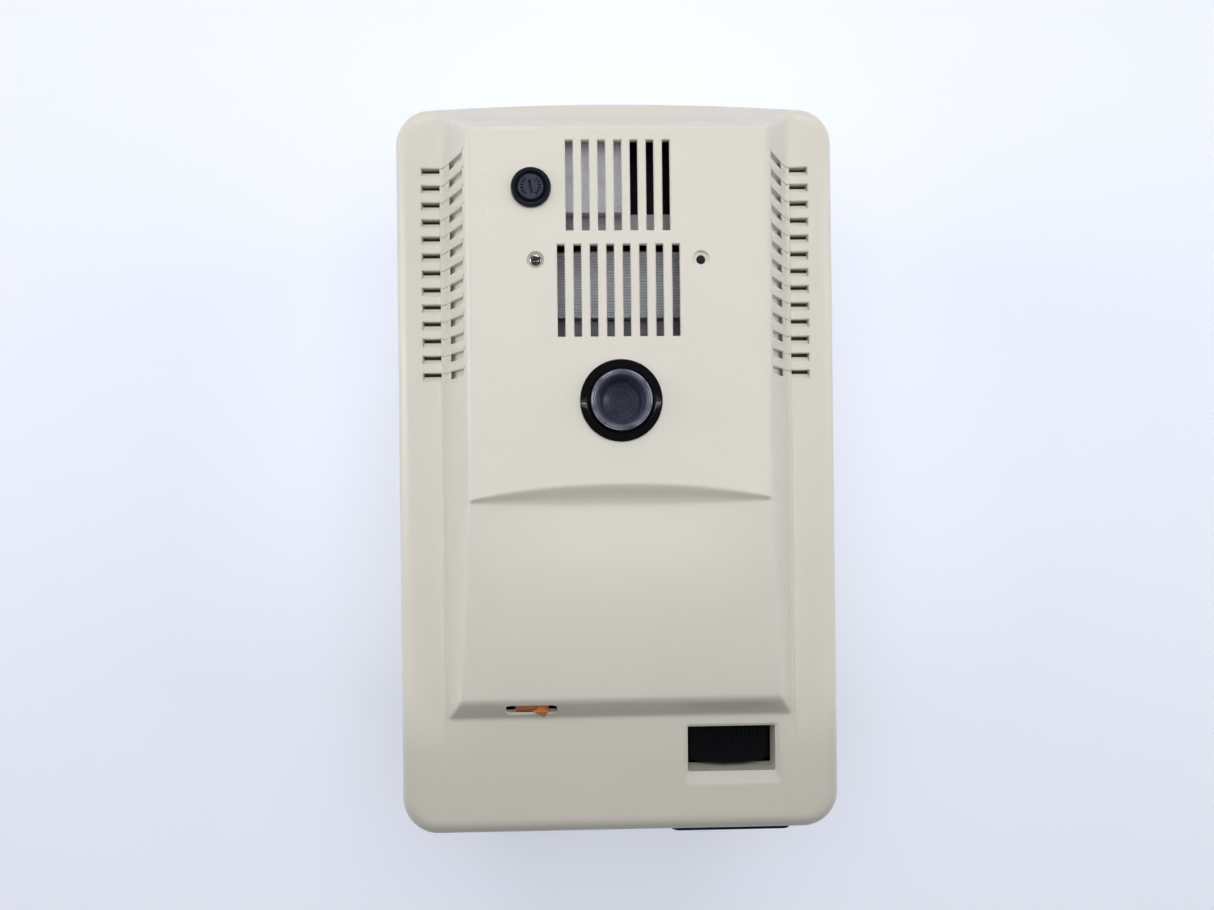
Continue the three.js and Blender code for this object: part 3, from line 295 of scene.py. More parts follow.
class Nodes:
    """Short way to write a node tree."""

    def __init__(self, name):
        self.material = bpy.data.materials.new(name)
        self.material.use_nodes = True
        self.tree = self.material.node_tree
        self.shader = self.tree.nodes["Principled BSDF"]
        self.position = self.add("ShaderNodeTexCoord").outputs["Object"]

    def add(self, kind, **values):
        node = self.tree.nodes.new(kind)
        for key, value in values.items():
            setattr(node, key, value)
        return node

    def link(self, source, target):
        self.tree.links.new(source, target)

    def feed(self, node, **inputs):
        for key, value in inputs.items():
            socket = node.inputs[key.replace("_", " ")]
            if isinstance(value, bpy.types.NodeSocket):
                self.link(value, socket)
            else:
                socket.default_value = value
        return node

    def scaled(self, x, y, z, turn=(0, 0, 0)):
        node = self.add("ShaderNodeMapping")
        node.inputs["Scale"].default_value = (x, y, z)
        node.inputs["Rotation"].default_value = turn
        self.link(self.position, node.inputs["Vector"])
        return node.outputs["Vector"]

    def noise(self, scale, detail=2.0, roughness=0.5, vector=None, distortion=0.0):
        node = self.add("ShaderNodeTexNoise")
        self.link(self.position if vector is None else vector, node.inputs["Vector"])
        self.feed(node, Scale=scale, Detail=detail, Roughness=roughness, Distortion=distortion)
        return node.outputs["Fac"]

    def ramp(self, value, low, high, out_low=0.0, out_high=1.0):
        node = self.add("ShaderNodeMapRange", interpolation_type="SMOOTHSTEP")
        self.link(value, node.inputs["Value"])
        for key, number in (("From Min", low), ("From Max", high), ("To Min", out_low), ("To Max", out_high)):
            node.inputs[key].default_value = number
        return node.outputs["Result"]

    def math(self, operation, a, b=0.0):
        node = self.add("ShaderNodeMath", operation=operation)
        for socket, value in zip(node.inputs, (a, b)):
            if isinstance(value, bpy.types.NodeSocket):
                self.link(value, socket)
            else:
                socket.default_value = value
        return node.outputs[0]

    def mix(self, factor, a, b):
        node = self.add("ShaderNodeMix", data_type="RGBA")
        for socket, value in ((node.inputs[0], factor), (node.inputs[6], a), (node.inputs[7], b)):
            if isinstance(value, bpy.types.NodeSocket):
                self.link(value, socket)
            else:
                socket.default_value = value if isinstance(value, (int, float)) else (*value, 1)[:4]
        return node.outputs[2]

    def bump(self, *layers):
        """Bump from (height, distance in millimetres) layers, each on top of the one before."""
        normal = None
        for height, distance in layers:
            node = self.add("ShaderNodeBump")
            node.inputs["Distance"].default_value = distance * MM
            self.link(height, node.inputs["Height"])
            if normal is not None:
                self.link(normal, node.inputs["Normal"])
            normal = node.outputs["Normal"]
        self.link(normal, self.shader.inputs["Normal"])

    def axis(self, name):
        node = self.add("ShaderNodeSeparateXYZ")
        self.link(self.position, node.inputs[0])
        return node.outputs[name]

    def bands(self, kind, direction, **inputs):
        values = {"wave_type": kind, f"{kind.lower()}_direction": direction}
        node = self.add("ShaderNodeTexWave", **values)
        self.link(self.position, node.inputs["Vector"])
        self.feed(node, **inputs)
        return node.outputs["Fac"]

    def cells(self, scale, randomness):
        node = self.add("ShaderNodeTexVoronoi", feature="F1")
        self.link(self.position, node.inputs["Vector"])
        self.feed(node, Scale=scale, Randomness=randomness)
        return node.outputs["Distance"]

    def plan_distance(self, x, y, depth_scale=1.0):
        """Distance in plan from a point given in body millimetres, with depth scaled."""
        flat = self.add("ShaderNodeVectorMath", operation="MULTIPLY")
        self.link(self.position, flat.inputs[0])
        flat.inputs[1].default_value = (1, depth_scale, 0)
        gap = self.add("ShaderNodeVectorMath", operation="DISTANCE")
        self.link(flat.outputs[0], gap.inputs[0])
        gap.inputs[1].default_value = (x * MM, (y + SHIFT_Y) * MM * depth_scale, 0)
        return gap.outputs["Value"]

    def set(self, **inputs):
        self.feed(self.shader, **inputs)


def tone(colour, factor):
    """Lighter or darker copy of a colour."""
    return tuple(min(1.0, c * factor) for c in colour)


def moulded_plastic(name, colour, roughness, grain_depth=0.02, mottle=0.03, specular=0.5):
    """Injection-moulded plastic: fine spark-eroded grain, faint flow marks and uneven gloss."""
    n = Nodes(name)
    flow = n.ramp(n.noise(9, 3, 0.55), 0.3, 0.7)
    cloud = n.ramp(n.noise(60, 4, 0.6), 0.35, 0.68)
    speck = n.ramp(n.noise(2600, 1, 0.4), 0.66, 0.74)
    base = n.mix(flow, tone(colour, 1 - mottle), tone(colour, 1 + mottle))
    base = n.mix(n.math("MULTIPLY", cloud, 0.3), base, tone(colour, 1 - 1.6 * mottle))
    base = n.mix(n.math("MULTIPLY", speck, 0.25), base, tone(colour, 0.72))
    gloss = n.ramp(n.noise(140, 4, 0.6), 0.3, 0.72, roughness - 0.06, roughness + 0.07)
    n.set(Base_Color=base, Roughness=gloss, Specular_IOR_Level=specular)
    n.bump((n.noise(260, 3, 0.5), grain_depth * 1.5), (n.noise(1300, 3, 0.6), grain_depth))
    return n


BEIGE_COLOUR = (0.674, 0.647, 0.579)
# painted shade: the beige is painted darker towards the front, between these two y
PAINTED_SHADE_START, PAINTED_SHADE_END = -92, -132  # the cover darkens forwards from the first y to the second
SCUFFS = [  # x, y and radius of the rubbed spots
    (-54.5, 121.5, 0.5), (-53.3, 120.2, 0.35), (-55.4, 113.5, 0.4), (-52.6, 103.6, 0.5),
    (-53.3, 100.8, 0.35), (-50.6, 92.7, 0.4), (-58.5, 8.0, 0.3), (57.0, 62.0, 0.3),
]


def beige_plastic():
    """Cover and housing plastic, slightly yellowed, with hairline scuffs, rubbed whitish spots and painted
    shade towards the front.
    """
    n = moulded_plastic("beige_plastic", BEIGE_COLOUR, 0.36, mottle=0.02)
    base = n.shader.inputs["Base Color"].links[0].from_socket
    for turn, strength in ((0.55, 0.12), (1.9, 0.10)):
        streak = n.noise(1.0, 3, 0.5, vector=n.scaled(90, 900, 60, (0, 0, turn)))
        hair = n.math("MULTIPLY", n.ramp(streak, 0.70, 0.74), n.ramp(n.noise(24 + 9 * turn, 2), 0.52, 0.64))
        base = n.mix(n.math("MULTIPLY", hair, strength), base, (0.9, 0.89, 0.86))
    grime = n.ramp(n.noise(38, 5, 0.7, distortion=0.4), 0.62, 0.8)
    base = n.mix(n.math("MULTIPLY", grime, 0.12), base, (0.5, 0.46, 0.38))
    # painted shade: the colour darkens towards the front of the cover
    painted_front_shade = n.ramp(n.axis("Y"), (PAINTED_SHADE_START + SHIFT_Y) * MM, (PAINTED_SHADE_END + SHIFT_Y) * MM, 0.0, 0.55)
    base = n.mix(painted_front_shade, base, tone(BEIGE_COLOUR, 0.63))
    scuffs = None
    for x, y, radius in SCUFFS:
        gap = n.plan_distance(x, y, 0.55)
        ragged = n.math("ADD", gap, n.math("MULTIPLY", n.noise(900, 3, 0.7), 0.0022))
        spot = n.ramp(ragged, (radius + 1.0) * MM, (radius + 0.4) * MM)
        scuffs = spot if scuffs is None else n.math("MAXIMUM", scuffs, spot)
    base = n.mix(n.math("MULTIPLY", scuffs, 0.85), base, (0.95, 0.95, 0.95))
    n.set(Base_Color=base)
    return n.material


def glossy_black():
    """Hard polished black plastic with light dust."""
    n = Nodes("black_gloss")
    dust = n.ramp(n.noise(1500, 2, 0.5), 0.68, 0.76)
    haze = n.ramp(n.noise(45, 3, 0.6), 0.4, 0.75)
    base = n.mix(n.math("MULTIPLY", dust, 0.2), (0.004, 0.004, 0.005), (0.10, 0.10, 0.10))
    n.set(Base_Color=base, Roughness=n.ramp(haze, 0, 1, 0.055, 0.105))
    n.bump((n.noise(700, 3), 0.002))
    return n.material


def metal(name, colour, roughness, brushed=(1, 1, 1), tarnish=0.15, metallic=1.0):
    """Rolled or brushed metal: stretched grain, faint tarnish and uneven gloss."""
    n = Nodes(name)
    grain = n.noise(1.0, 4, 0.6, vector=n.scaled(*(900 / b for b in brushed)))
    patch = n.ramp(n.noise(70, 4, 0.6), 0.35, 0.7)
    base = n.mix(patch, colour, tone(colour, 1 - tarnish))
    base = n.mix(n.math("MULTIPLY", grain, 0.35), base, tone(colour, 0.78))
    gloss = n.ramp(grain, 0.25, 0.75, roughness - 0.08, roughness + 0.1)
    n.set(Base_Color=base, Metallic=metallic, Roughness=gloss)
    n.bump((grain, 0.01))
    return n.material


def screen_metal():
    """Light sheet metal, dusty, with painted light on its upper part and painted shade low down."""
    n = Nodes("light_metal")
    grain = n.noise(1.0, 4, 0.6, vector=n.scaled(900, 60, 900))
    # painted light and shade: the metal is painted light near the top and darker lower down
    upper = n.ramp(n.axis("Z"), (SHOULDER_Z + 11.5) * MM, (SHOULDER_Z + 15) * MM)
    base = n.mix(upper, (0.60, 0.57, 0.60), (0.86, 0.88, 0.96))
    base = n.mix(n.ramp(n.noise(260, 4, 0.7), 0.45, 0.75, 0, 0.35), base, (0.45, 0.44, 0.44))
    base = n.mix(n.math("MULTIPLY", grain, 0.2), base, (0.6, 0.6, 0.62))
    n.set(Base_Color=base, Metallic=0.08, Roughness=n.ramp(grain, 0.25, 0.75, 0.5, 0.65))
    n.bump((grain, 0.01))
    return n.material


def laminated_core():
    """Stack of thin grey sheets seen on edge, with varnish between them and painted glints along the sheet
    edges.
    """
    n = Nodes("laminated_core")
    wave = n.bands("BANDS", "Y", Scale=260.0, Distortion=2.2, Detail=3.0, Detail_Scale=3.0)
    sheets = n.ramp(wave, 0.25, 0.75)
    uneven = n.ramp(n.noise(1.0, 3, 0.6, vector=n.scaled(25, 900, 25)), 0.3, 0.7)
    # the dark bands are the varnish between sheets, the bright bands painted glints on the sheet edges
    base = n.mix(sheets, (0.62, 0.63, 0.69), (0.92, 0.94, 1.0))
    base = n.mix(n.math("MULTIPLY", uneven, 0.3), base, (0.62, 0.64, 0.69))
    n.set(Base_Color=base, Metallic=0.3, Roughness=n.ramp(n.noise(300, 3), 0.3, 0.7, 0.45, 0.65))
    n.bump((sheets, 0.08), (n.noise(500, 3), 0.02))
    return n.material


def clear_plastic():
    """Smoky translucent stopper, with turned rings, rubbed streaks running round it and painted shade that
    darkens its hollow middle.
    """
    n = Nodes("clear_plastic")
    radius = n.math("MULTIPLY", n.plan_distance(*PORT), 1000.0)
    wobble = n.math("ADD", radius, n.math("MULTIPLY", n.noise(55, 3, 0.6), 1.1))
    spin = n.add("ShaderNodeCombineXYZ")
    n.link(wobble, spin.inputs["X"])
    lines = n.noise(1.5, 3, 0.7, vector=spin.outputs["Vector"])
    streak = n.math("MULTIPLY", n.ramp(lines, 0.48, 0.64), n.ramp(n.noise(190, 4, 0.7), 0.36, 0.58))
    rim = n.ramp(radius, 7.6, 10.0, 0.12, 0.95)
    # painted shade: darker towards the middle, where the cup is deep
    painted_hollow_shade = n.ramp(radius, 5.0, 11.0)
    base = n.mix(painted_hollow_shade, (0.034, 0.042, 0.080), (0.078, 0.086, 0.130))
    base = n.mix(n.math("MULTIPLY", streak, rim), base, (0.52, 0.53, 0.58))
    haze = n.ramp(n.noise(220, 3, 0.6), 0.4, 0.75, 0.12, 0.26)
    n.set(Base_Color=base, Roughness=haze, Transmission_Weight=0.12, IOR=1.49)
    n.bump((lines, 0.012), (n.noise(900, 3), 0.01))
    return n.material


def glass(name, tint):
    """Pane glass with faint smears."""
    n = Nodes(name)
    smear = n.ramp(n.noise(1.0, 3, 0.6, vector=n.scaled(30, 30, 90, (0.3, 0.4, 0))), 0.45, 0.75, 0.01, 0.09)
    colour = n.mix(n.ramp(n.noise(25, 2), 0.3, 0.7), tint, tone(tint, 0.95))
    n.set(Base_Color=colour, Roughness=smear, Transmission_Weight=0.96, IOR=1.5)
    n.bump((n.noise(14, 2), 0.02))
    return n.material


def rubber(name, colour, roughness=0.85):
    """Matt rubber or foam with a pitted skin."""
    n = Nodes(name)
    pits = n.noise(1600, 4, 0.7)
    bloom = n.ramp(n.noise(90, 4, 0.6), 0.4, 0.75)
    base = n.mix(bloom, colour, tone(colour, 1.25))
    base = n.mix(n.math("MULTIPLY", pits, 0.3), base, tone(colour, 0.7))
    n.set(Base_Color=base, Roughness=n.ramp(pits, 0.3, 0.7, roughness - 0.08, min(1.0, roughness + 0.08)))
    n.bump((n.noise(300, 3, 0.6), 0.03), (pits, 0.03))
    return n.material


def circuit_green():
    """Solder-masked board with copper tracks and drilled pads."""
    n = Nodes("circuit_green")
    wave = n.bands("BANDS", "X", Scale=95.0, Distortion=6.0, Detail=1.0, Detail_Scale=0.35)
    tracks = n.ramp(wave, 0.62, 0.68)
    pads = n.ramp(n.cells(210.0, 0.35), 0.2, 0.16)
    base = n.mix(tracks, (0.018, 0.10, 0.035), (0.05, 0.20, 0.07))
    base = n.mix(pads, base, (0.62, 0.60, 0.55))
    n.set(Base_Color=base, Roughness=n.ramp(n.noise(300, 2), 0.3, 0.7, 0.28, 0.42))
    n.bump((tracks, 0.03), (pads, 0.06))
    return n.material


def taped_coil():
    """Winding under dark varnished tape, with the turns showing through."""
    n = Nodes("taped_coil")
    wave = n.bands("BANDS", "Z", Scale=260.0, Distortion=0.6, Detail=2.0)
    lap = n.ramp(n.noise(1.0, 2, 0.5, vector=n.scaled(40, 40, 160)), 0.4, 0.6)
    base = n.mix(lap, (0.20, 0.205, 0.22), (0.30, 0.305, 0.32))
    n.set(Base_Color=base, Roughness=n.ramp(n.noise(180, 3), 0.3, 0.7, 0.3, 0.5))
    n.bump((wave, 0.08), (n.noise(400, 3), 0.03))
    return n.material


def lens(name, colour):
    """Ribbed indicator lens, with the lamp off."""
    n = Nodes(name)
    ribs = n.bands("RINGS", "Y", Scale=500.0, Distortion=0.4)
    base = n.mix(n.ramp(n.noise(300, 2), 0.3, 0.7), colour, tone(colour, 0.75))
    gloss = n.ramp(n.noise(500, 2), 0.3, 0.7, 0.12, 0.24)
    n.set(Base_Color=base, Roughness=gloss, Transmission_Weight=0.35, IOR=1.49)
    n.bump((ribs, 0.03))
    return n.material


def foam_block():
    """Open-cell insulation foam."""
    n = Nodes("insulation_foam")
    cells = n.cells(700.0, 1.0)
    shadow = n.ramp(cells, 0.05, 0.5)
    base = n.mix(shadow, (0.45, 0.40, 0.28), (0.80, 0.74, 0.58))
    base = n.mix(n.ramp(n.noise(50, 3), 0.4, 0.7, 0, 0.3), base, (0.66, 0.56, 0.36))
    n.set(Base_Color=base, Roughness=n.ramp(n.noise(400, 2), 0.3, 0.7, 0.85, 0.98))
    n.bump((cells, 0.3))
    return n.material


PLASTICS = {  # colour, roughness, depth of grain, mottle and specular level
    "black_plastic": ((0.008, 0.008, 0.011), 0.4, 0.03, 0.2, 0.4),
    "flange_black": ((0.008, 0.009, 0.016), 0.32, 0.01, 0.1, 0.3),
    "knob_black": ((0.030, 0.035, 0.058), 0.38, 0.02, 0.15, 0.5),
    "wheel_black": ((0.003, 0.003, 0.005), 0.45, 0.02, 0.2, 0.22),
    "orange_plastic": ((0.52, 0.155, 0.028), 0.4, 0.02, 0.08, 0.5),
    "white_plastic": ((0.78, 0.775, 0.74), 0.42, 0.02, 0.03, 0.5),
}
MATERIALS = {name: moulded_plastic(name, *look).material for name, look in PLASTICS.items()}
MATERIALS |= {
    "beige_plastic": beige_plastic(),
    "black_gloss": glossy_black(),
    "clear_plastic": clear_plastic(),
    "steel": metal("zinc_plated_steel", (0.56, 0.565, 0.58), 0.42, tarnish=0.18, metallic=0.75),
    "light_metal": screen_metal(),
    "core_steel": laminated_core(),
    "stainless": metal("brushed_stainless", (0.60, 0.60, 0.595), 0.3, (22, 1, 1), tarnish=0.06),
    "board_green": circuit_green(),
    "coil_tape": taped_coil(),
    "foam": foam_block(),
    "foot_rubber": rubber("foot_rubber", (0.022, 0.022, 0.023)),
    "silicone": rubber("silicone_gasket", (0.26, 0.26, 0.25), 0.6),
    "window_glass": glass("window_glass", (0.94, 0.97, 0.96)),
    "fuse_glass": glass("fuse_glass", (0.93, 0.95, 0.94)),
    "green_lens": lens("green_lens", (0.03, 0.36, 0.07)),
    "amber_lens": lens("amber_lens", (0.75, 0.28, 0.03)),
    "chassis_steel": metal("chassis_steel", (0.09, 0.09, 0.095), 0.6, tarnish=0.3, metallic=0.6),
    "screw_steel": metal("screw_steel", (0.82, 0.82, 0.80), 0.2, tarnish=0.3),
    "hinge_brass": metal("nickel_brass", (0.60, 0.50, 0.31), 0.33, tarnish=0.2),
    "magnet": rubber("magnet_ferrite", (0.045, 0.045, 0.048), 0.6),
}


# ---------------------------------------------------------------- upper cover


def smooth_min(a, b, k):
    """Smaller of two heights, blended over a distance k where they meet."""
    h = np.maximum(k - np.abs(a - b), 0.0) / k
    return np.minimum(a, b) - h * h * k / 4


def smooth_max(a, b, k):
    return -smooth_min(-a, -b, k)


def smooth_step(t):
    t = np.clip(t, 0, 1)
    return t * t * (3 - 2 * t)


def panel_height(y):
    """Lower panel above the shoulders, along its sides: it falls forwards with a slight crown."""
    t = (y - LIP_Y) / (STEP_Y - LIP_Y)
    return LIP_H + (STEP_H - LIP_H) * t + 4 * PANEL_CROWN * t * (1 - t)


def hump_height(x, y, inset=0.0):
    """Raised part above the shoulders: top, stepped-down front panel, drafted sides, rear and riser."""

    def face(height, slope):
        return height - inset * math.hypot(1, slope)

    spread = np.clip(1 - (np.abs(x) / HUMP_HALF_TOP) ** 2.2, 0, 1)
    back = STEP_TOP_Y + STEP_TOP_BOW * spread
    foot = STEP_FOOT_Y - STEP_FOOT_BOW * spread
    down = np.clip((back - y) / (back - foot), 0, 1)
    ahead = np.clip(STEP_Y - y, 0, None)
    dish = DISH_DEPTH * spread * np.exp(-((ahead / DISH_REACH) ** 1.5))
    front = panel_height(np.minimum(y, STEP_Y)) - dish
    drop = smooth_step(down**0.8)
    top = face(HUMP_H + (front - HUMP_H) * drop, 0.1)
    side_slope = HUMP_H / (HUMP_HALF_FOOT - HUMP_HALF_TOP)
    riser_slope = LIP_H / (LIP_Y - RISER_FOOT_Y)
    side = face((HUMP_HALF_FOOT - np.abs(x)) * side_slope, side_slope)
    rear = face(HUMP_H - (y - HUMP_REAR_Y) * HUMP_REAR_SLOPE, HUMP_REAR_SLOPE)
    riser = face((y - RISER_FOOT_Y) * riser_slope, riser_slope)
    h = smooth_min(top, side, 2.6)
    h = smooth_min(h, rear, 4.0)
    return smooth_min(h, riser, 2.6)


def shoulder_height(x, y):
    """Shoulders: dished slightly inwards, with a rib along the foot of the raised part."""
    ax = np.abs(x)
    dish = -SHOULDER_DISH * smooth_step((92 - ax) / 16)
    fade = smooth_step((y + 128) / 22) * (1 - smooth_step((y - 112) / 22))
    rib = RIB["height"] * np.exp(-(((ax - RIB["x"]) / RIB["half"]) ** 2)) * fade
    return dish * smooth_step((y + 140) / 40) + rib


def cover_height(x, y, depth, inset=0.0):
    """Top of the cover at (x, y), depth being the distance in from its outline."""
    r = FILLET_R - inset
    edge = r - np.sqrt(np.maximum(r * r - np.clip(r - depth, 0, r) ** 2, 0))
    shoulder = shoulder_height(x, y) - inset - edge
    soft = 3.0
    turn = soft - np.sqrt(np.maximum(soft**2 - np.clip(soft - depth, 0, soft) ** 2, 0))
    blend = 1.5 + 7.0 * smooth_step((y - 118) / 30)
    return SHOULDER_Z + smooth_max(hump_height(x, y, inset) - turn, shoulder, blend)


def spaced(stops):
    """Coordinates from (position, step before it) stops."""
    values = [stops[0][0]]
    for (a, _), (b, step) in zip(stops, stops[1:]):
        count = max(1, round((b - a) / step))
        values.extend(a + (b - a) * (i + 1) / count for i in range(count))
    return np.array(values)


def cover_solid(inset, bottom, xs, ys, depths, corner_steps):
    """Closed solid under the cover's surface: a grid, rings round it, walls and a flat bottom."""
    half_x = HALF_W - CORNER_R
    rear = REAR_Y - REAR_BOW - CORNER_R

    def bow(x):
        return REAR_BOW * (1 - (np.clip(x, -half_x, half_x) / half_x) ** 2)

    def warp(x, y):
        return y + bow(x) * smooth_step((y - 60) / (rear - 60))

    points, index = [], {}
    grid_x, grid_y = np.meshgrid(xs, ys)
    plan_y = warp(grid_x, grid_y)
    inner_depth = np.full_like(grid_x, CORNER_R - inset)
    heights = cover_height(grid_x, plan_y, inner_depth, inset)
    for j in range(len(ys)):
        for i in range(len(xs)):
            index[i, j] = len(points)
            points.append((grid_x[j, i], plan_y[j, i], heights[j, i]))
    faces = [
        (index[i, j], index[i + 1, j], index[i + 1, j + 1], index[i, j + 1])
        for j in range(len(ys) - 1)
        for i in range(len(xs) - 1)
    ]
    nx, ny = len(xs), len(ys)
    boundary = [(i, 0) for i in range(nx)]
    boundary += [(nx - 1, 0)] * (corner_steps - 1)
    boundary += [(nx - 1, j) for j in range(ny)]
    boundary += [(nx - 1, ny - 1)] * (corner_steps - 1)
    boundary += [(i, ny - 1) for i in reversed(range(nx))]
    boundary += [(0, ny - 1)] * (corner_steps - 1)
    boundary += [(0, j) for j in reversed(range(ny))]
    boundary += [(0, 0)] * (corner_steps - 1)
    directions = []
    sides = [(nx, -90), (ny, 0), (nx, 90), (ny, 180)]
    for count, angle in sides:
        directions += [math.radians(angle)] * count
        directions += [
            math.radians(angle + 90 * k / corner_steps) for k in range(1, corner_steps)
        ]
    base = [index[i, j] for i, j in boundary]
    base_points = np.array([points[k] for k in base])
    along = np.array([(math.cos(t), math.sin(t)) for t in directions])
    previous = base
    for depth in depths:
        reach = CORNER_R - inset - depth
        ring_xy = base_points[:, :2] + along * reach
        ring_z = cover_height(ring_xy[:, 0], ring_xy[:, 1], np.full(len(ring_xy), depth), inset)
        ring = list(range(len(points), len(points) + len(ring_xy)))
        points.extend((x, y, z) for (x, y), z in zip(ring_xy, ring_z))
        faces.extend(stitch(previous, ring))
        previous = ring
    top = np.array([points[k] for k in previous])
    for fraction in (0.04, 0.3, 0.65, 0.97, 1.0):
        pull = 0.35 if fraction == 1.0 and inset == 0 else 0.0
        ring = list(range(len(points), len(points) + len(top)))
        z = top[:, 2] + (bottom - top[:, 2]) * fraction
        xy = top[:, :2] - along * pull
        points.extend((x, y, h) for (x, y), h in zip(xy, z))
        faces.extend(stitch(previous, ring))
        previous = ring
    faces.append(tuple(previous))
    return points, faces


def stitch(inner, outer):
    """Quads between two loops of equal length, triangles where the inner one stays put."""
    faces = []
    for i in range(len(inner)):
        j = (i + 1) % len(inner)
        face = tuple(dict.fromkeys((inner[i], outer[i], outer[j], inner[j])))
        if len(face) > 2:
            faces.append(face)
    return faces


def surface_slot(axis, a, b, centre, width, reach=5.0, edge=0.45, step=1.4):
    """Cutter for a slot that follows the cover's surface and breaks its edges."""
    count = max(2, round((b - a) / step))
    levels = [(0.0, None), (0.0, -edge), (edge, 0.04), (edge + 1.0, 1.1)]
    rings = []
    for grow, lift in levels:
        stations = [a - grow + (b - a + 2 * grow) * i / count for i in range(count + 1)]
        half = width / 2 + grow
        outline = [(s, centre - half) for s in stations] + [(s, centre + half) for s in reversed(stations)]
        ring = []
        for s, c in outline:
            inner = min(max(s, a), b)
            x, y = (s, c) if axis == "x" else (c, s)
            px, py = (inner, centre) if axis == "x" else (centre, inner)
            z = float(cover_height(np.array(px), np.array(py), np.array(CORNER_R)))
            ring.append((x, y, z - reach if lift is None else z + lift))
        rings.append(ring)
    n = len(rings[0])
    points = [p for r in rings for p in r]
    faces = []
    for k in range(len(rings) - 1):
        faces.extend(
            (k * n + i, k * n + (i + 1) % n, (k + 1) * n + (i + 1) % n, (k + 1) * n + i) for i in range(n)
        )
    last = (len(rings) - 1) * n
    for start, flip in ((0, True), (last, False)):
        for i in range(count):
            quad = (start + i, start + i + 1, start + n - 2 - i, start + n - 1 - i)
            faces.append(tuple(reversed(quad)) if flip else quad)
    return points, faces


def vent_cutters():
    """Upper and lower vents in the hump, and both parts of each side vent."""
    shapes = []
    for vents in (UPPER_VENTS, LOWER_VENTS):
        first = -(vents["count"] - 1) * vents["pitch"] / 2
        for i in range(vents["count"]):
            x = first + i * vents["pitch"]
            shapes.append(surface_slot("y", vents["y0"], vents["y1"], x, vents["width"]))
    for y in side_vent_rows():
        for ends in (SIDE_VENTS["wall"], SIDE_VENTS["shoulder"]):
            reach = 5.0 if ends[0] < HUMP_HALF_FOOT else 0.5
            for a, b in (ends, (-ends[1], -ends[0])):
                shapes.append(surface_slot("x", a, b, y, SIDE_VENTS["width"], reach=reach, step=0.9))
    return shapes


def side_vent_rows():
    """Middle of each side vent, from the rear forwards."""
    return [SIDE_VENTS["first"] - i * SIDE_VENTS["pitch"] for i in range(SIDE_VENTS["count"])]


def louvre_blocks():
    """Ribs under the shoulder that the sloping louvre faces are cut into."""
    low, high = SIDE_VENTS["shoulder"]
    rows = side_vent_rows()
    front, rear = rows[-1] - SIDE_VENTS["pitch"] / 2, rows[0] + SIDE_VENTS["pitch"] / 2
    outline = [
        (front, SHOULDER_Z - LOUVRE_DEPTH), (rear, SHOULDER_Z - LOUVRE_DEPTH),
        (rear, SHOULDER_Z - 1.2), (front, SHOULDER_Z - 1.2),
    ]
    return [prism("x", outline, a, b) for a, b in ((low - 0.7, high + 0.7), (-high - 0.7, -low + 0.7))]


def louvre_cutters():
    """Lower part of each shoulder vent: it slopes down from the front edge to a gap at the rear."""
    shapes = []
    low, high = SIDE_VENTS["shoulder"]
    for y in side_vent_rows():
        front, rear = y - SIDE_VENTS["width"] / 2, y + SIDE_VENTS["width"] / 2
        outline = [
            (front, SHOULDER_Z - LOUVRE_FALL[0]), (rear - LOUVRE_GAP, SHOULDER_Z - LOUVRE_FALL[1]),
            (rear - LOUVRE_GAP, SHOULDER_Z - 6), (rear, SHOULDER_Z - 6),
            (rear, SHOULDER_Z - 0.3), (front, SHOULDER_Z - 0.3),
        ]
        shapes += [prism("x", outline, a, b) for a, b in ((low, high), (-high, -low))]
    return shapes


def groove_cutters():
    """Fine groove that joins the two parts of each side vent along their rear edge."""
    low, high = SIDE_VENTS["wall"][1] + 0.6, SIDE_VENTS["shoulder"][0] - 0.6
    shapes = []
    for y in side_vent_rows():
        edge = y + SIDE_VENTS["width"] / 2 - 0.3
        for a, b in ((low, high), (-high, -low)):
            shapes.append(surface_slot("x", a, b, edge, 0.45, reach=0.8, edge=0.2, step=0.9))
    return shapes


def frustum(levels):
    """Cutter through rectangles given as (x0, x1, y0, y1, z, corner radius)."""
    return loft([[(u, v, z) for u, v in rounded_rect(x0, x1, y0, y1, r)] for x0, x1, y0, y1, z, r in levels])


RISER_RUN = LIP_Y - RISER_FOOT_Y
RISER_LENGTH = math.hypot(RISER_RUN, LIP_H)


def riser_point(x, along, out):
    """Point on the riser: height along it from its foot, and distance out of its face."""
    return (
        x,
        RISER_FOOT_Y + (along * RISER_RUN - out * LIP_H) / RISER_LENGTH,
        SHOULDER_Z + (along * LIP_H + out * RISER_RUN) / RISER_LENGTH,
    )


def riser_slot():
    """Cutter for the pointer's window in the riser, with a rounded rim."""
    scale = RISER_LENGTH / LIP_H
    a0, a1 = SLOT["z0"] * scale, SLOT["z1"] * scale
    rings = []
    for grow, out in ((0, -8), (0, -0.55), (0.5, 0.02), (1.5, 1.4)):
        outline = rounded_rect(SLOT["x0"] - grow, SLOT["x1"] + grow, a0 - grow, a1 + grow, 2.6 + grow, 7)
        rings.append([riser_point(x, along, out) for x, along in outline])
    return loft(rings)


def riser_pocket():
    """Cutter that thins the riser from behind, where the pointer's flag slides."""
    rings = []
    for out in (-POCKET["depth"], -SLOT_SKIN):
        outline = rounded_rect(POCKET["x0"], POCKET["x1"], POCKET["low"], POCKET["high"], 0.8)
        rings.append([riser_point(x, along, out) for x, along in outline])
    return loft(rings)


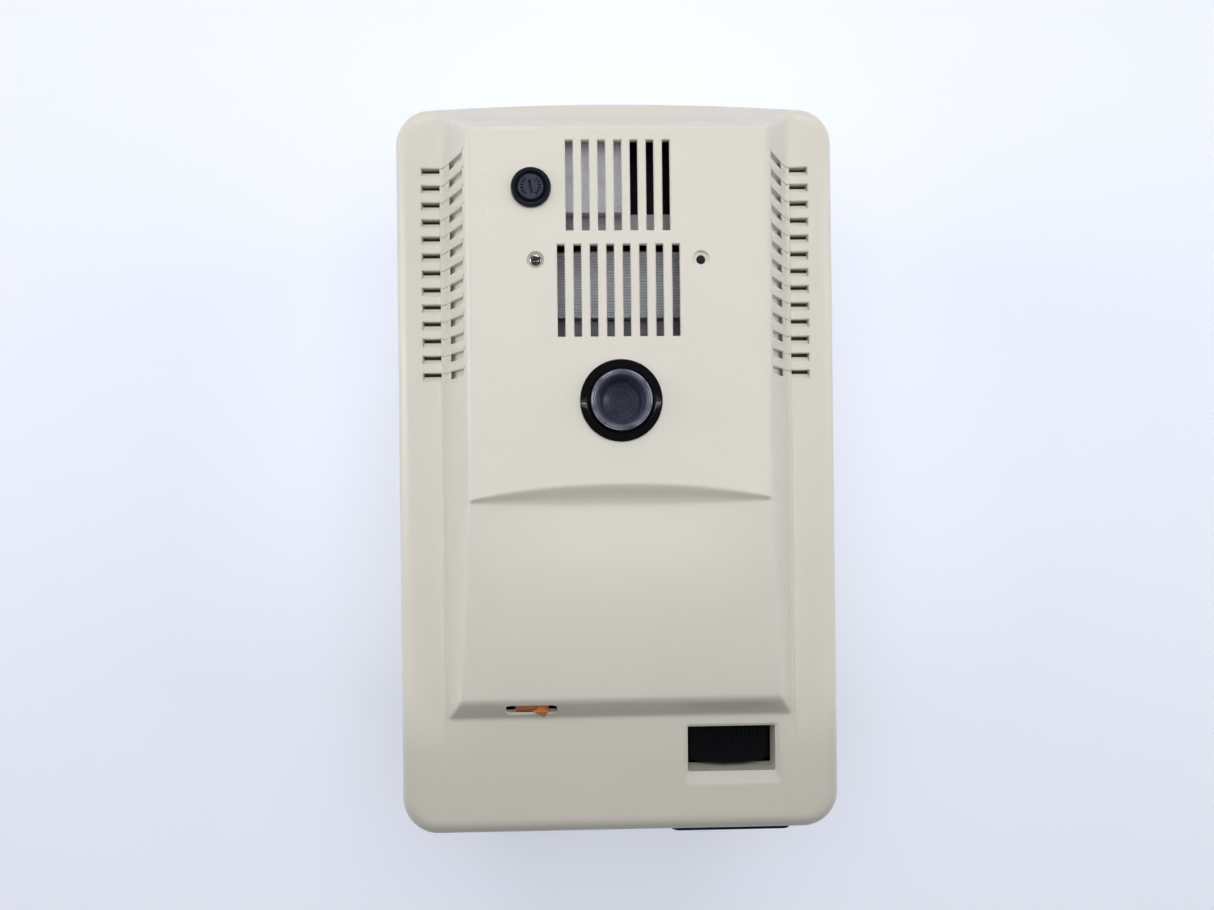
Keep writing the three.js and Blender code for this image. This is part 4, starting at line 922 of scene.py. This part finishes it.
def top_cover():
    """Hollow moulded cover with its vents, windows and holes."""
    fine = 0.8
    xs_half = spaced([(0, 1), (20, 4), (50, 3.0), (58, 1.4), (66, fine), (72, 1.2), (80, 0.55)])
    xs = np.concatenate([-xs_half[:0:-1], xs_half])
    ys = spaced([
        (FRONT_Y + CORNER_R, 1), (-128, 3.8), (-112, 2.0), (-95, fine), (-88, 1.8), (-32, 4),
        (-18, 1.4), (-4, 0.5), (4, 1.5), (130, 4.2), (REAR_Y - REAR_BOW - CORNER_R, 0.7),
    ])
    depths = [
        14, 12.5, 11, 9.6, 8.4, 7.2, 6.1, 5.1, 4.2, 3.4, 2.7, 2.05, 1.5, 1.0, 0.62, 0.34, 0.14, 0.03, 0.0,
    ]
    obj = new_object("cover_moulding", cover_solid(0.0, SPLIT_Z, xs, ys, depths, 14))
    coarse_half = spaced([(0, 1), (56, 7), (68, 2), (80, 3)])
    coarse_x = np.concatenate([-coarse_half[:0:-1], coarse_half])
    coarse_y = spaced([
        (FRONT_Y + CORNER_R, 1), (-112, 6), (-94, 1.5), (-20, 8), (0, 1.5), (128, 8),
        (REAR_Y - REAR_BOW - CORNER_R, 2),
    ])
    inner_depths = [11, 9, 7, 5.2, 3.6, 2.4, 1.4, 0.7, 0.2, 0.0]
    cut(obj, cover_solid(WALL, SPLIT_Z - 5, coarse_x, coarse_y, inner_depths, 8))
    w = WINDOW
    combine(obj, frustum([
        (w["x0"] - 2, w["x1"] + 2, w["y0"] - 2, w["y1"] + 2, SHOULDER_Z - w["skirt"], 2.4),
        (w["x0"] - 2, w["x1"] + 2, w["y0"] - 2, w["y1"] + 2, SHOULDER_Z - 1, 2.4),
    ]), "UNION")
    cut(obj, frustum([
        (w["x0"], w["x1"], w["y0"], w["y1"], SHOULDER_Z - 2 * w["skirt"], 0.7),
        (w["x0"], w["x1"], w["y0"], w["y1"], SHOULDER_Z - 1.5, 0.7),
        (w["x0"] - 0.9, w["x1"] + 1.3, w["y0"] - 2.9, w["y1"] + 1.0, SHOULDER_Z - 0.85, 1.2),
        (w["x0"] - 1.7, w["x1"] + 2.2, w["y0"] - 4.8, w["y1"] + 1.9, SHOULDER_Z - 0.12, 2.0),
        (w["x0"] - 4.5, w["x1"] + 5.0, w["y0"] - 8.0, w["y1"] + 4.5, SHOULDER_Z + 0.8, 4.5),
    ]))
    combine(obj, merge(*louvre_blocks()), "UNION")
    cut(obj, merge(*vent_cutters()), merge(*louvre_cutters()), merge(*groove_cutters()))
    cut(obj, riser_pocket())
    cut(obj, riser_slot())
    holes = []
    for x in (-SCREW[0], SCREW[0]):
        holes.append(turned([
            (0, HUMP_TOP - 6), (1.9, HUMP_TOP - 6), (1.9, HUMP_TOP - 1.4), (3.1, HUMP_TOP - 1.4),
            (3.3, HUMP_TOP - 1.2), (3.3, HUMP_TOP - 0.35), (3.75, HUMP_TOP + 0.05), (4.6, HUMP_TOP + 0.6),
            (0, HUMP_TOP + 0.6),
        ], (x, SCREW[1]), segments=48))
    for (x, y), r in ((FUSE, 6.6), (PORT, 12.6)):
        holes.append(turned([
            (0, HUMP_TOP - 6), (r, HUMP_TOP - 6), (r, HUMP_TOP + 2), (0, HUMP_TOP + 2),
        ], (x, y), segments=64))
    opening = PANEL_OPENING
    outline = rounded_rect(opening["z0"], opening["z1"], opening["x0"], opening["x1"], 0.8)
    holes.append(prism("y", outline, FRONT_Y - 1, FRONT_Y + 6))
    r = LAMPS["r"]
    bore = [(0, FRONT_Y - 1), (r, FRONT_Y - 1), (r, FRONT_Y + 6), (0, FRONT_Y + 6)]
    holes += [turned(bore, (LAMPS["z"], x), "y", 32) for x in LAMPS["x"]]
    opening = INLET_OPENING
    outline = rounded_rect(opening["z0"], opening["z1"], opening["x0"], opening["x1"], 1.0)
    holes.append(prism("y", outline, REAR_Y - 8, REAR_Y + 2))
    cut(obj, merge(*holes))
    place(obj, "casing", "beige_plastic", "beige_plastic", "top_cover", angle=28)


top_cover()


# ---------------------------------------------------------------- port, fuse and screw


def port():
    """Port sleeve with its polished sloping ring, and the cupped stopper in it."""
    top = HUMP_TOP
    profile = [
        (10.2, 116.9), (12.2, 116.9), (12.2, top + 0.3), (16.7, top + 0.3), (16.7, top + 0.8),
        (16.6, top + 0.92), (16.3, top + 1.02), (15.4, top + 1.18), (14.4, top + 1.34), (13.4, top + 1.48),
        (13.2, top + 1.42), (12.75, top + 0.7), (12.2, top + 0.5),
        (11.2, top + 0.5), (10.5, top + 0.1), (10.2, top - 0.6),
    ]
    tube = new_object("port_sleeve", turned(profile, PORT, segments=160, ring=True))
    place(tube, "casing", "black_gloss", "black_gloss", "port_tube", angle=50)
    cup = [
        (0, top - 15.0), (8.9, top - 15.0), (9.35, top - 14.6), (9.7, top - 0.5), (9.95, top + 1.4),
        (10.3, top + 1.8), (12.0, top + 1.8), (12.35, top + 2.2), (12.4, top + 4.6), (12.05, top + 5.3),
        (11.5, top + 5.6), (10.6, top + 5.6), (10.15, top + 5.35), (9.9, top + 4.8), (8.6, top - 3.0),
        (8.2, top - 8.4), (7.6, top - 9.0), (7.0, top - 9.1), (0, top - 9.2),
    ]
    plug = new_object("port_stopper", turned(cup, PORT, segments=128))
    place(plug, "port_plug", "clear_plastic", "clear_plastic", "port_plug", angle=40)


def fuse():
    """Panel fuse holder, and its cap with a slot and a ring of cut ticks."""
    top = HUMP_TOP
    holder = new_object("fuse_carrier", turned([
        (0, top - 36), (4.4, top - 36), (4.4, top - 31), (6.2, top - 31), (6.2, top + 0.3), (7.9, top + 0.3),
        (8.1, top + 0.5), (8.1, top + 1.3), (7.95, top + 1.7), (7.6, top + 1.95), (6.9, top + 1.95),
        (6.45, top + 1.75), (6.2, top + 1.2), (5.9, top + 0.7), (5.55, top + 0.6), (5.5, top - 30),
        (0, top - 30),
    ], FUSE, segments=96))
    place(holder, "casing", "black_plastic", "flange_black", "fuse_holder")
    cap_top = top + 2.2
    cap = new_object("fuse_knob", turned([
        (0, top - 9.4), (4, top - 9.4), (4, top - 2), (5.1, top - 2), (5.15, cap_top - 0.55),
        (5.0, cap_top - 0.2), (4.7, cap_top), (3.4, cap_top + 0.02), (0, cap_top + 0.03),
    ], FUSE, segments=96))
    x, y = FUSE
    turn = math.radians(12)

    def marked(points, angle):
        c, s = math.cos(angle), math.sin(angle)
        return [(x + u * c - v * s, y + u * s + v * c, cap_top + w) for u, v, w in points]

    slot = frustum([(-0.45, 0.45, -2.5, 2.5, -2.2, 0.2), (-0.5, 0.5, -2.6, 2.6, -0.2, 0.25),
                    (-0.8, 0.8, -2.8, 2.8, 0.1, 0.45)])
    cut(cap, (marked(slot[0], turn), slot[1]))
    tick = frustum([(-0.3, 0.3, 3.0, 4.1, -0.9, 0.1), (-0.42, 0.42, 2.9, 4.25, 0.15, 0.14)])
    ticks = [
        (marked(tick[0], math.radians(angle)), tick[1])
        for angle in range(0, 360, 20)
        if abs((angle + 90) % 180 - 90) > 20
    ]
    cut(cap, merge(*ticks))
    place(cap, "fuse_cap", "black_plastic", "knob_black", "fuse_cap")


def cover_screw():
    """Domed screw with a cross recess."""
    top = HUMP_TOP
    x, y = -SCREW[0], SCREW[1]
    screw = new_object("cover_screw", turned([
        (0, top - 10), (1.2, top - 10), (1.5, top - 9), (1.5, top - 1.1), (2.35, top - 1.1),
        (2.5, top - 0.95), (2.5, top - 0.35), (2.25, top + 0.1), (1.8, top + 0.42), (1.2, top + 0.6),
        (0.6, top + 0.68), (0, top + 0.7),
    ], (x, y), segments=56))
    turn = math.radians(20)

    def slot_arm(angle):
        shape = frustum([(-1.5, 1.5, -0.26, 0.26, -0.9, 0.1), (-1.85, 1.85, -0.36, 0.36, 1.0, 0.12)])
        c, s = math.cos(angle), math.sin(angle)
        return [(x + u * c - v * s, y + u * s + v * c, top + w) for u, v, w in shape[0]], shape[1]

    cut(screw, slot_arm(turn), slot_arm(turn + math.pi / 2))
    place(screw, "casing", "steel", "screw_steel", "cover_screw_left")


port()
fuse()
cover_screw()


# ---------------------------------------------------------------- temperature setting


def setting_wheel():
    """Ribbed thumbwheel, hollow at the rear, with a bored hub."""
    cx, cz, r = WHEEL["x"], WHEEL["z"], WHEEL["r"]
    ribs = 88
    steps = ribs * 6
    y0, y1 = WHEEL["y0"], WHEEL["y1"]
    bands = [
        (y0, -1.2, 0), (y0 + 0.25, -0.55, 0), (y0 + 0.8, -0.1, 0.3), (y0 + 1.4, 0, 1), (y1 - 1.4, 0, 1),
        (y1 - 0.8, -0.1, 0.3), (y1 - 0.25, -0.55, 0), (y1, -1.2, 0),
    ]
    rings = []
    for y, shrink, depth in bands:
        ring = []
        for i in range(steps):
            t = 2 * math.pi * i / steps
            wave = 0.5 - 0.5 * math.cos(ribs * t)
            radius = r + shrink - 0.55 * depth * wave**1.5
            ring.append((cx + radius * math.sin(t), y, cz + radius * math.cos(t)))
        rings.append(ring)
    wheel = new_object("thumbwheel", loft(rings))
    cut(wheel, turned([(0, y0 + 4), (r - 5, y0 + 4), (r - 5, y1 + 1), (0, y1 + 1)], (cz, cx), "y", 64))
    combine(wheel, turned([(0, y0 + 3), (6, y0 + 3), (6, y1 + 3), (0, y1 + 3)], (cz, cx), "y", 48), "UNION")
    cut(wheel, turned([(0, y0 - 1), (2.7, y0 - 1), (2.7, y1 + 4), (0, y1 + 4)], (cz, cx), "y", 32))
    place(wheel, "setting_wheel", "black_plastic", "wheel_black", "setting_wheel", angle=40)


setting_wheel()


# ---------------------------------------------------------------- pieces that keep their CAD shape

KEPT = {
    "casing": {
        "control_panel": ("black_plastic", 0.4), "rocker_housing": ("black_plastic", 0.3),
        "power_lamp": ("green_lens", 0.0), "heater_lamp": ("amber_lens", 0.0),
        "rack_guide": ("light_metal", 0.2), "scale_strip": ("white_plastic", 0.1),
        "mechanism_bracket": ("steel", 0.2), "potentiometer": ("black_plastic", 0.3),
        "circuit_board": ("board_green", 0.15), "control_relay": ("white_plastic", 0.5),
        "filter_capacitor": ("black_plastic", 0.3), "heat_sink": ("black_plastic", 0.2),
        "terminal_block": ("white_plastic", 0.25), "chassis_plate": ("steel", 0.2),
        "transformer_core": ("core_steel", 0.2), "transformer_coil": ("coil_tape", 1.0),
        "transformer_bracket": ("steel", 0.3), "fan_bracket": ("light_metal", 0.2),
        "cooling_fan_frame": ("black_plastic", 0.4), "mains_inlet": ("black_plastic", 0.4),
        "cover_post_left": ("steel", 0.2), "cover_post_right": ("steel", 0.2),
        "lower_housing": ("beige_plastic", 0.5), "foot_front_left": ("foot_rubber", 0.6),
        "foot_front_right": ("foot_rubber", 0.6), "foot_rear_left": ("foot_rubber", 0.6),
        "foot_rear_right": ("foot_rubber", 0.6), "insulation": ("foam", 0.5),
        "chamber_liner": ("stainless", 0.3), "rear_baffle": ("stainless", 0.15),
        "heater_element": ("steel", 0.0), "circulation_motor": ("steel", 0.5),
        "temperature_probe": ("steel", 0.3), "shelf": ("stainless", 0.15),
        "shelf_rail_left": ("stainless", 0.15), "shelf_rail_right": ("stainless", 0.15),
        "hinge_lower": ("hinge_brass", 0.25), "hinge_upper": ("hinge_brass", 0.25),
        "strike_plate": ("steel", 0.25),
    },
    "setting_wheel": {"wheel_shaft": ("steel", 0.15)},
    "setting_slider": {"setting_rack": ("white_plastic", 0.15), "setting_pointer": ("orange_plastic", 0.12)},
    "power_rocker": {"power_rocker": ("black_gloss", 0.5)},
    "fuse_cap": {"fuse_link": ("fuse_glass", 0.2)},
    "cooling_impeller": {"cooling_fan_impeller": ("black_plastic", 0.2)},
    "circulation_impeller": {"circulation_impeller": ("stainless", 0.2)},
    "door": {
        "door_shell": ("beige_plastic", 0.6), "door_window": ("window_glass", 0.4),
        "door_liner": ("stainless", 0.3), "door_gasket": ("silicone", 0.6),
        "door_handle": ("black_plastic", 1.2), "door_magnet": ("magnet", 0.3),
    },
}

FINISHES = {"chassis_plate": "chassis_steel"}  # pieces finished differently from the rest of their slot

for body, nodes in KEPT.items():
    for node, (slot, width) in nodes.items():
        piece = from_node(node + "_part", node, width)
        place(piece, body, slot, FINISHES.get(node, slot), node)


# ---------------------------------------------------------------- floor, light and camera


def studio():
    """Pale paper floor, soft lights and the camera."""
    n = Nodes("floor_paper")
    base = n.mix(n.ramp(n.noise(3, 3), 0.3, 0.7), (0.815, 0.85, 0.965), (0.835, 0.87, 0.985))
    n.set(Base_Color=base, Roughness=n.ramp(n.noise(60, 3), 0.3, 0.7, 0.75, 0.9), Specular_IOR_Level=0.2)
    n.set(Emission_Color=(0.86, 0.90, 1.0, 1), Emission_Strength=0.17)
    n.bump((n.noise(500, 3), 0.02))
    mesh = bpy.data.meshes.new("floor")
    half = 2.5
    corners = [(-half, -half, 0), (half, -half, 0), (half, half, 0), (-half, half, 0)]
    mesh.from_pydata(corners, [], [(0, 1, 2, 3)])
    floor = bpy.data.objects.new("floor", mesh)
    bpy.context.scene.collection.objects.link(floor)
    mesh.materials.append(n.material)

    world = bpy.data.worlds.new("studio")
    bpy.context.scene.world = world
    world.use_nodes = True
    world.node_tree.nodes["Background"].inputs["Color"].default_value = (0.92, 0.95, 1.0, 1)
    world.node_tree.nodes["Background"].inputs["Strength"].default_value = 0.05

    def area(name, spot, target, size, power, mirrored=True, lights=True):
        """Soft panel; mirrored=False keeps it out of reflections, lights=False out of diffuse light."""
        light = bpy.data.lights.new(name, "AREA")
        light.shape = "RECTANGLE"
        light.size, light.size_y = size
        light.energy = power
        obj = bpy.data.objects.new(name, light)
        obj.location = spot
        obj.rotation_euler = (Vector(target) - Vector(spot)).to_track_quat("-Z", "Y").to_euler()
        obj.visible_glossy = mirrored
        obj.visible_diffuse = lights
        bpy.context.scene.collection.objects.link(obj)

    aim = (0, 0, 0.1)
    area("light_left", (-1.2, 0.1, 0.9), aim, (0.9, 0.9), 3.2, mirrored=False)
    area("light_right", (1.2, 0.1, 0.9), aim, (0.9, 0.9), 5.5, mirrored=False)
    area("light_rear", (0, 1.4, 0.9), aim, (1.4, 0.8), 5.7)
    area("light_top", (0, 0.1, 1.7), aim, (1.2, 1.2), 4.0, mirrored=False)
    area("light_near", (0, 0.15, 0.85), aim, (0.5, 0.5), 1.95, mirrored=False)
    area("light_near_rear", (0, 0.45, 0.8), aim, (0.8, 0.4), 0.75, mirrored=False)
    area("light_low_left", (-1.3, 0.2, 0.3), aim, (0.5, 1.0), 6.3)
    area("light_low_right", (1.3, 0.2, 0.3), aim, (0.5, 1.0), 2.9)
    tube_height, tube_size = 1.3, (0.5, 0.012)
    for side in (-1, 1):
        x = side * 0.42
        for y, power in ((0.110, 0.03), (0.066, 0.20), (0.034, 0.06)):
            area(f"tube_{side}_{y}", (x, y, tube_height), (x, y, 0), tube_size, power, lights=False)

    camera = bpy.data.cameras.new("camera")
    camera.sensor_width = 36.0
    camera.lens = 27.0
    camera.clip_start = 0.02
    eye = bpy.data.objects.new("camera", camera)
    eye.location = (-0.0145, 0.0102, 0.5874)
    eye.rotation_euler = [math.radians(a) for a in (0.05, -1.39, -0.64)]
    bpy.context.scene.collection.objects.link(eye)
    bpy.context.scene.camera = eye
    bpy.context.scene.view_settings.view_transform = "Standard"


studio()
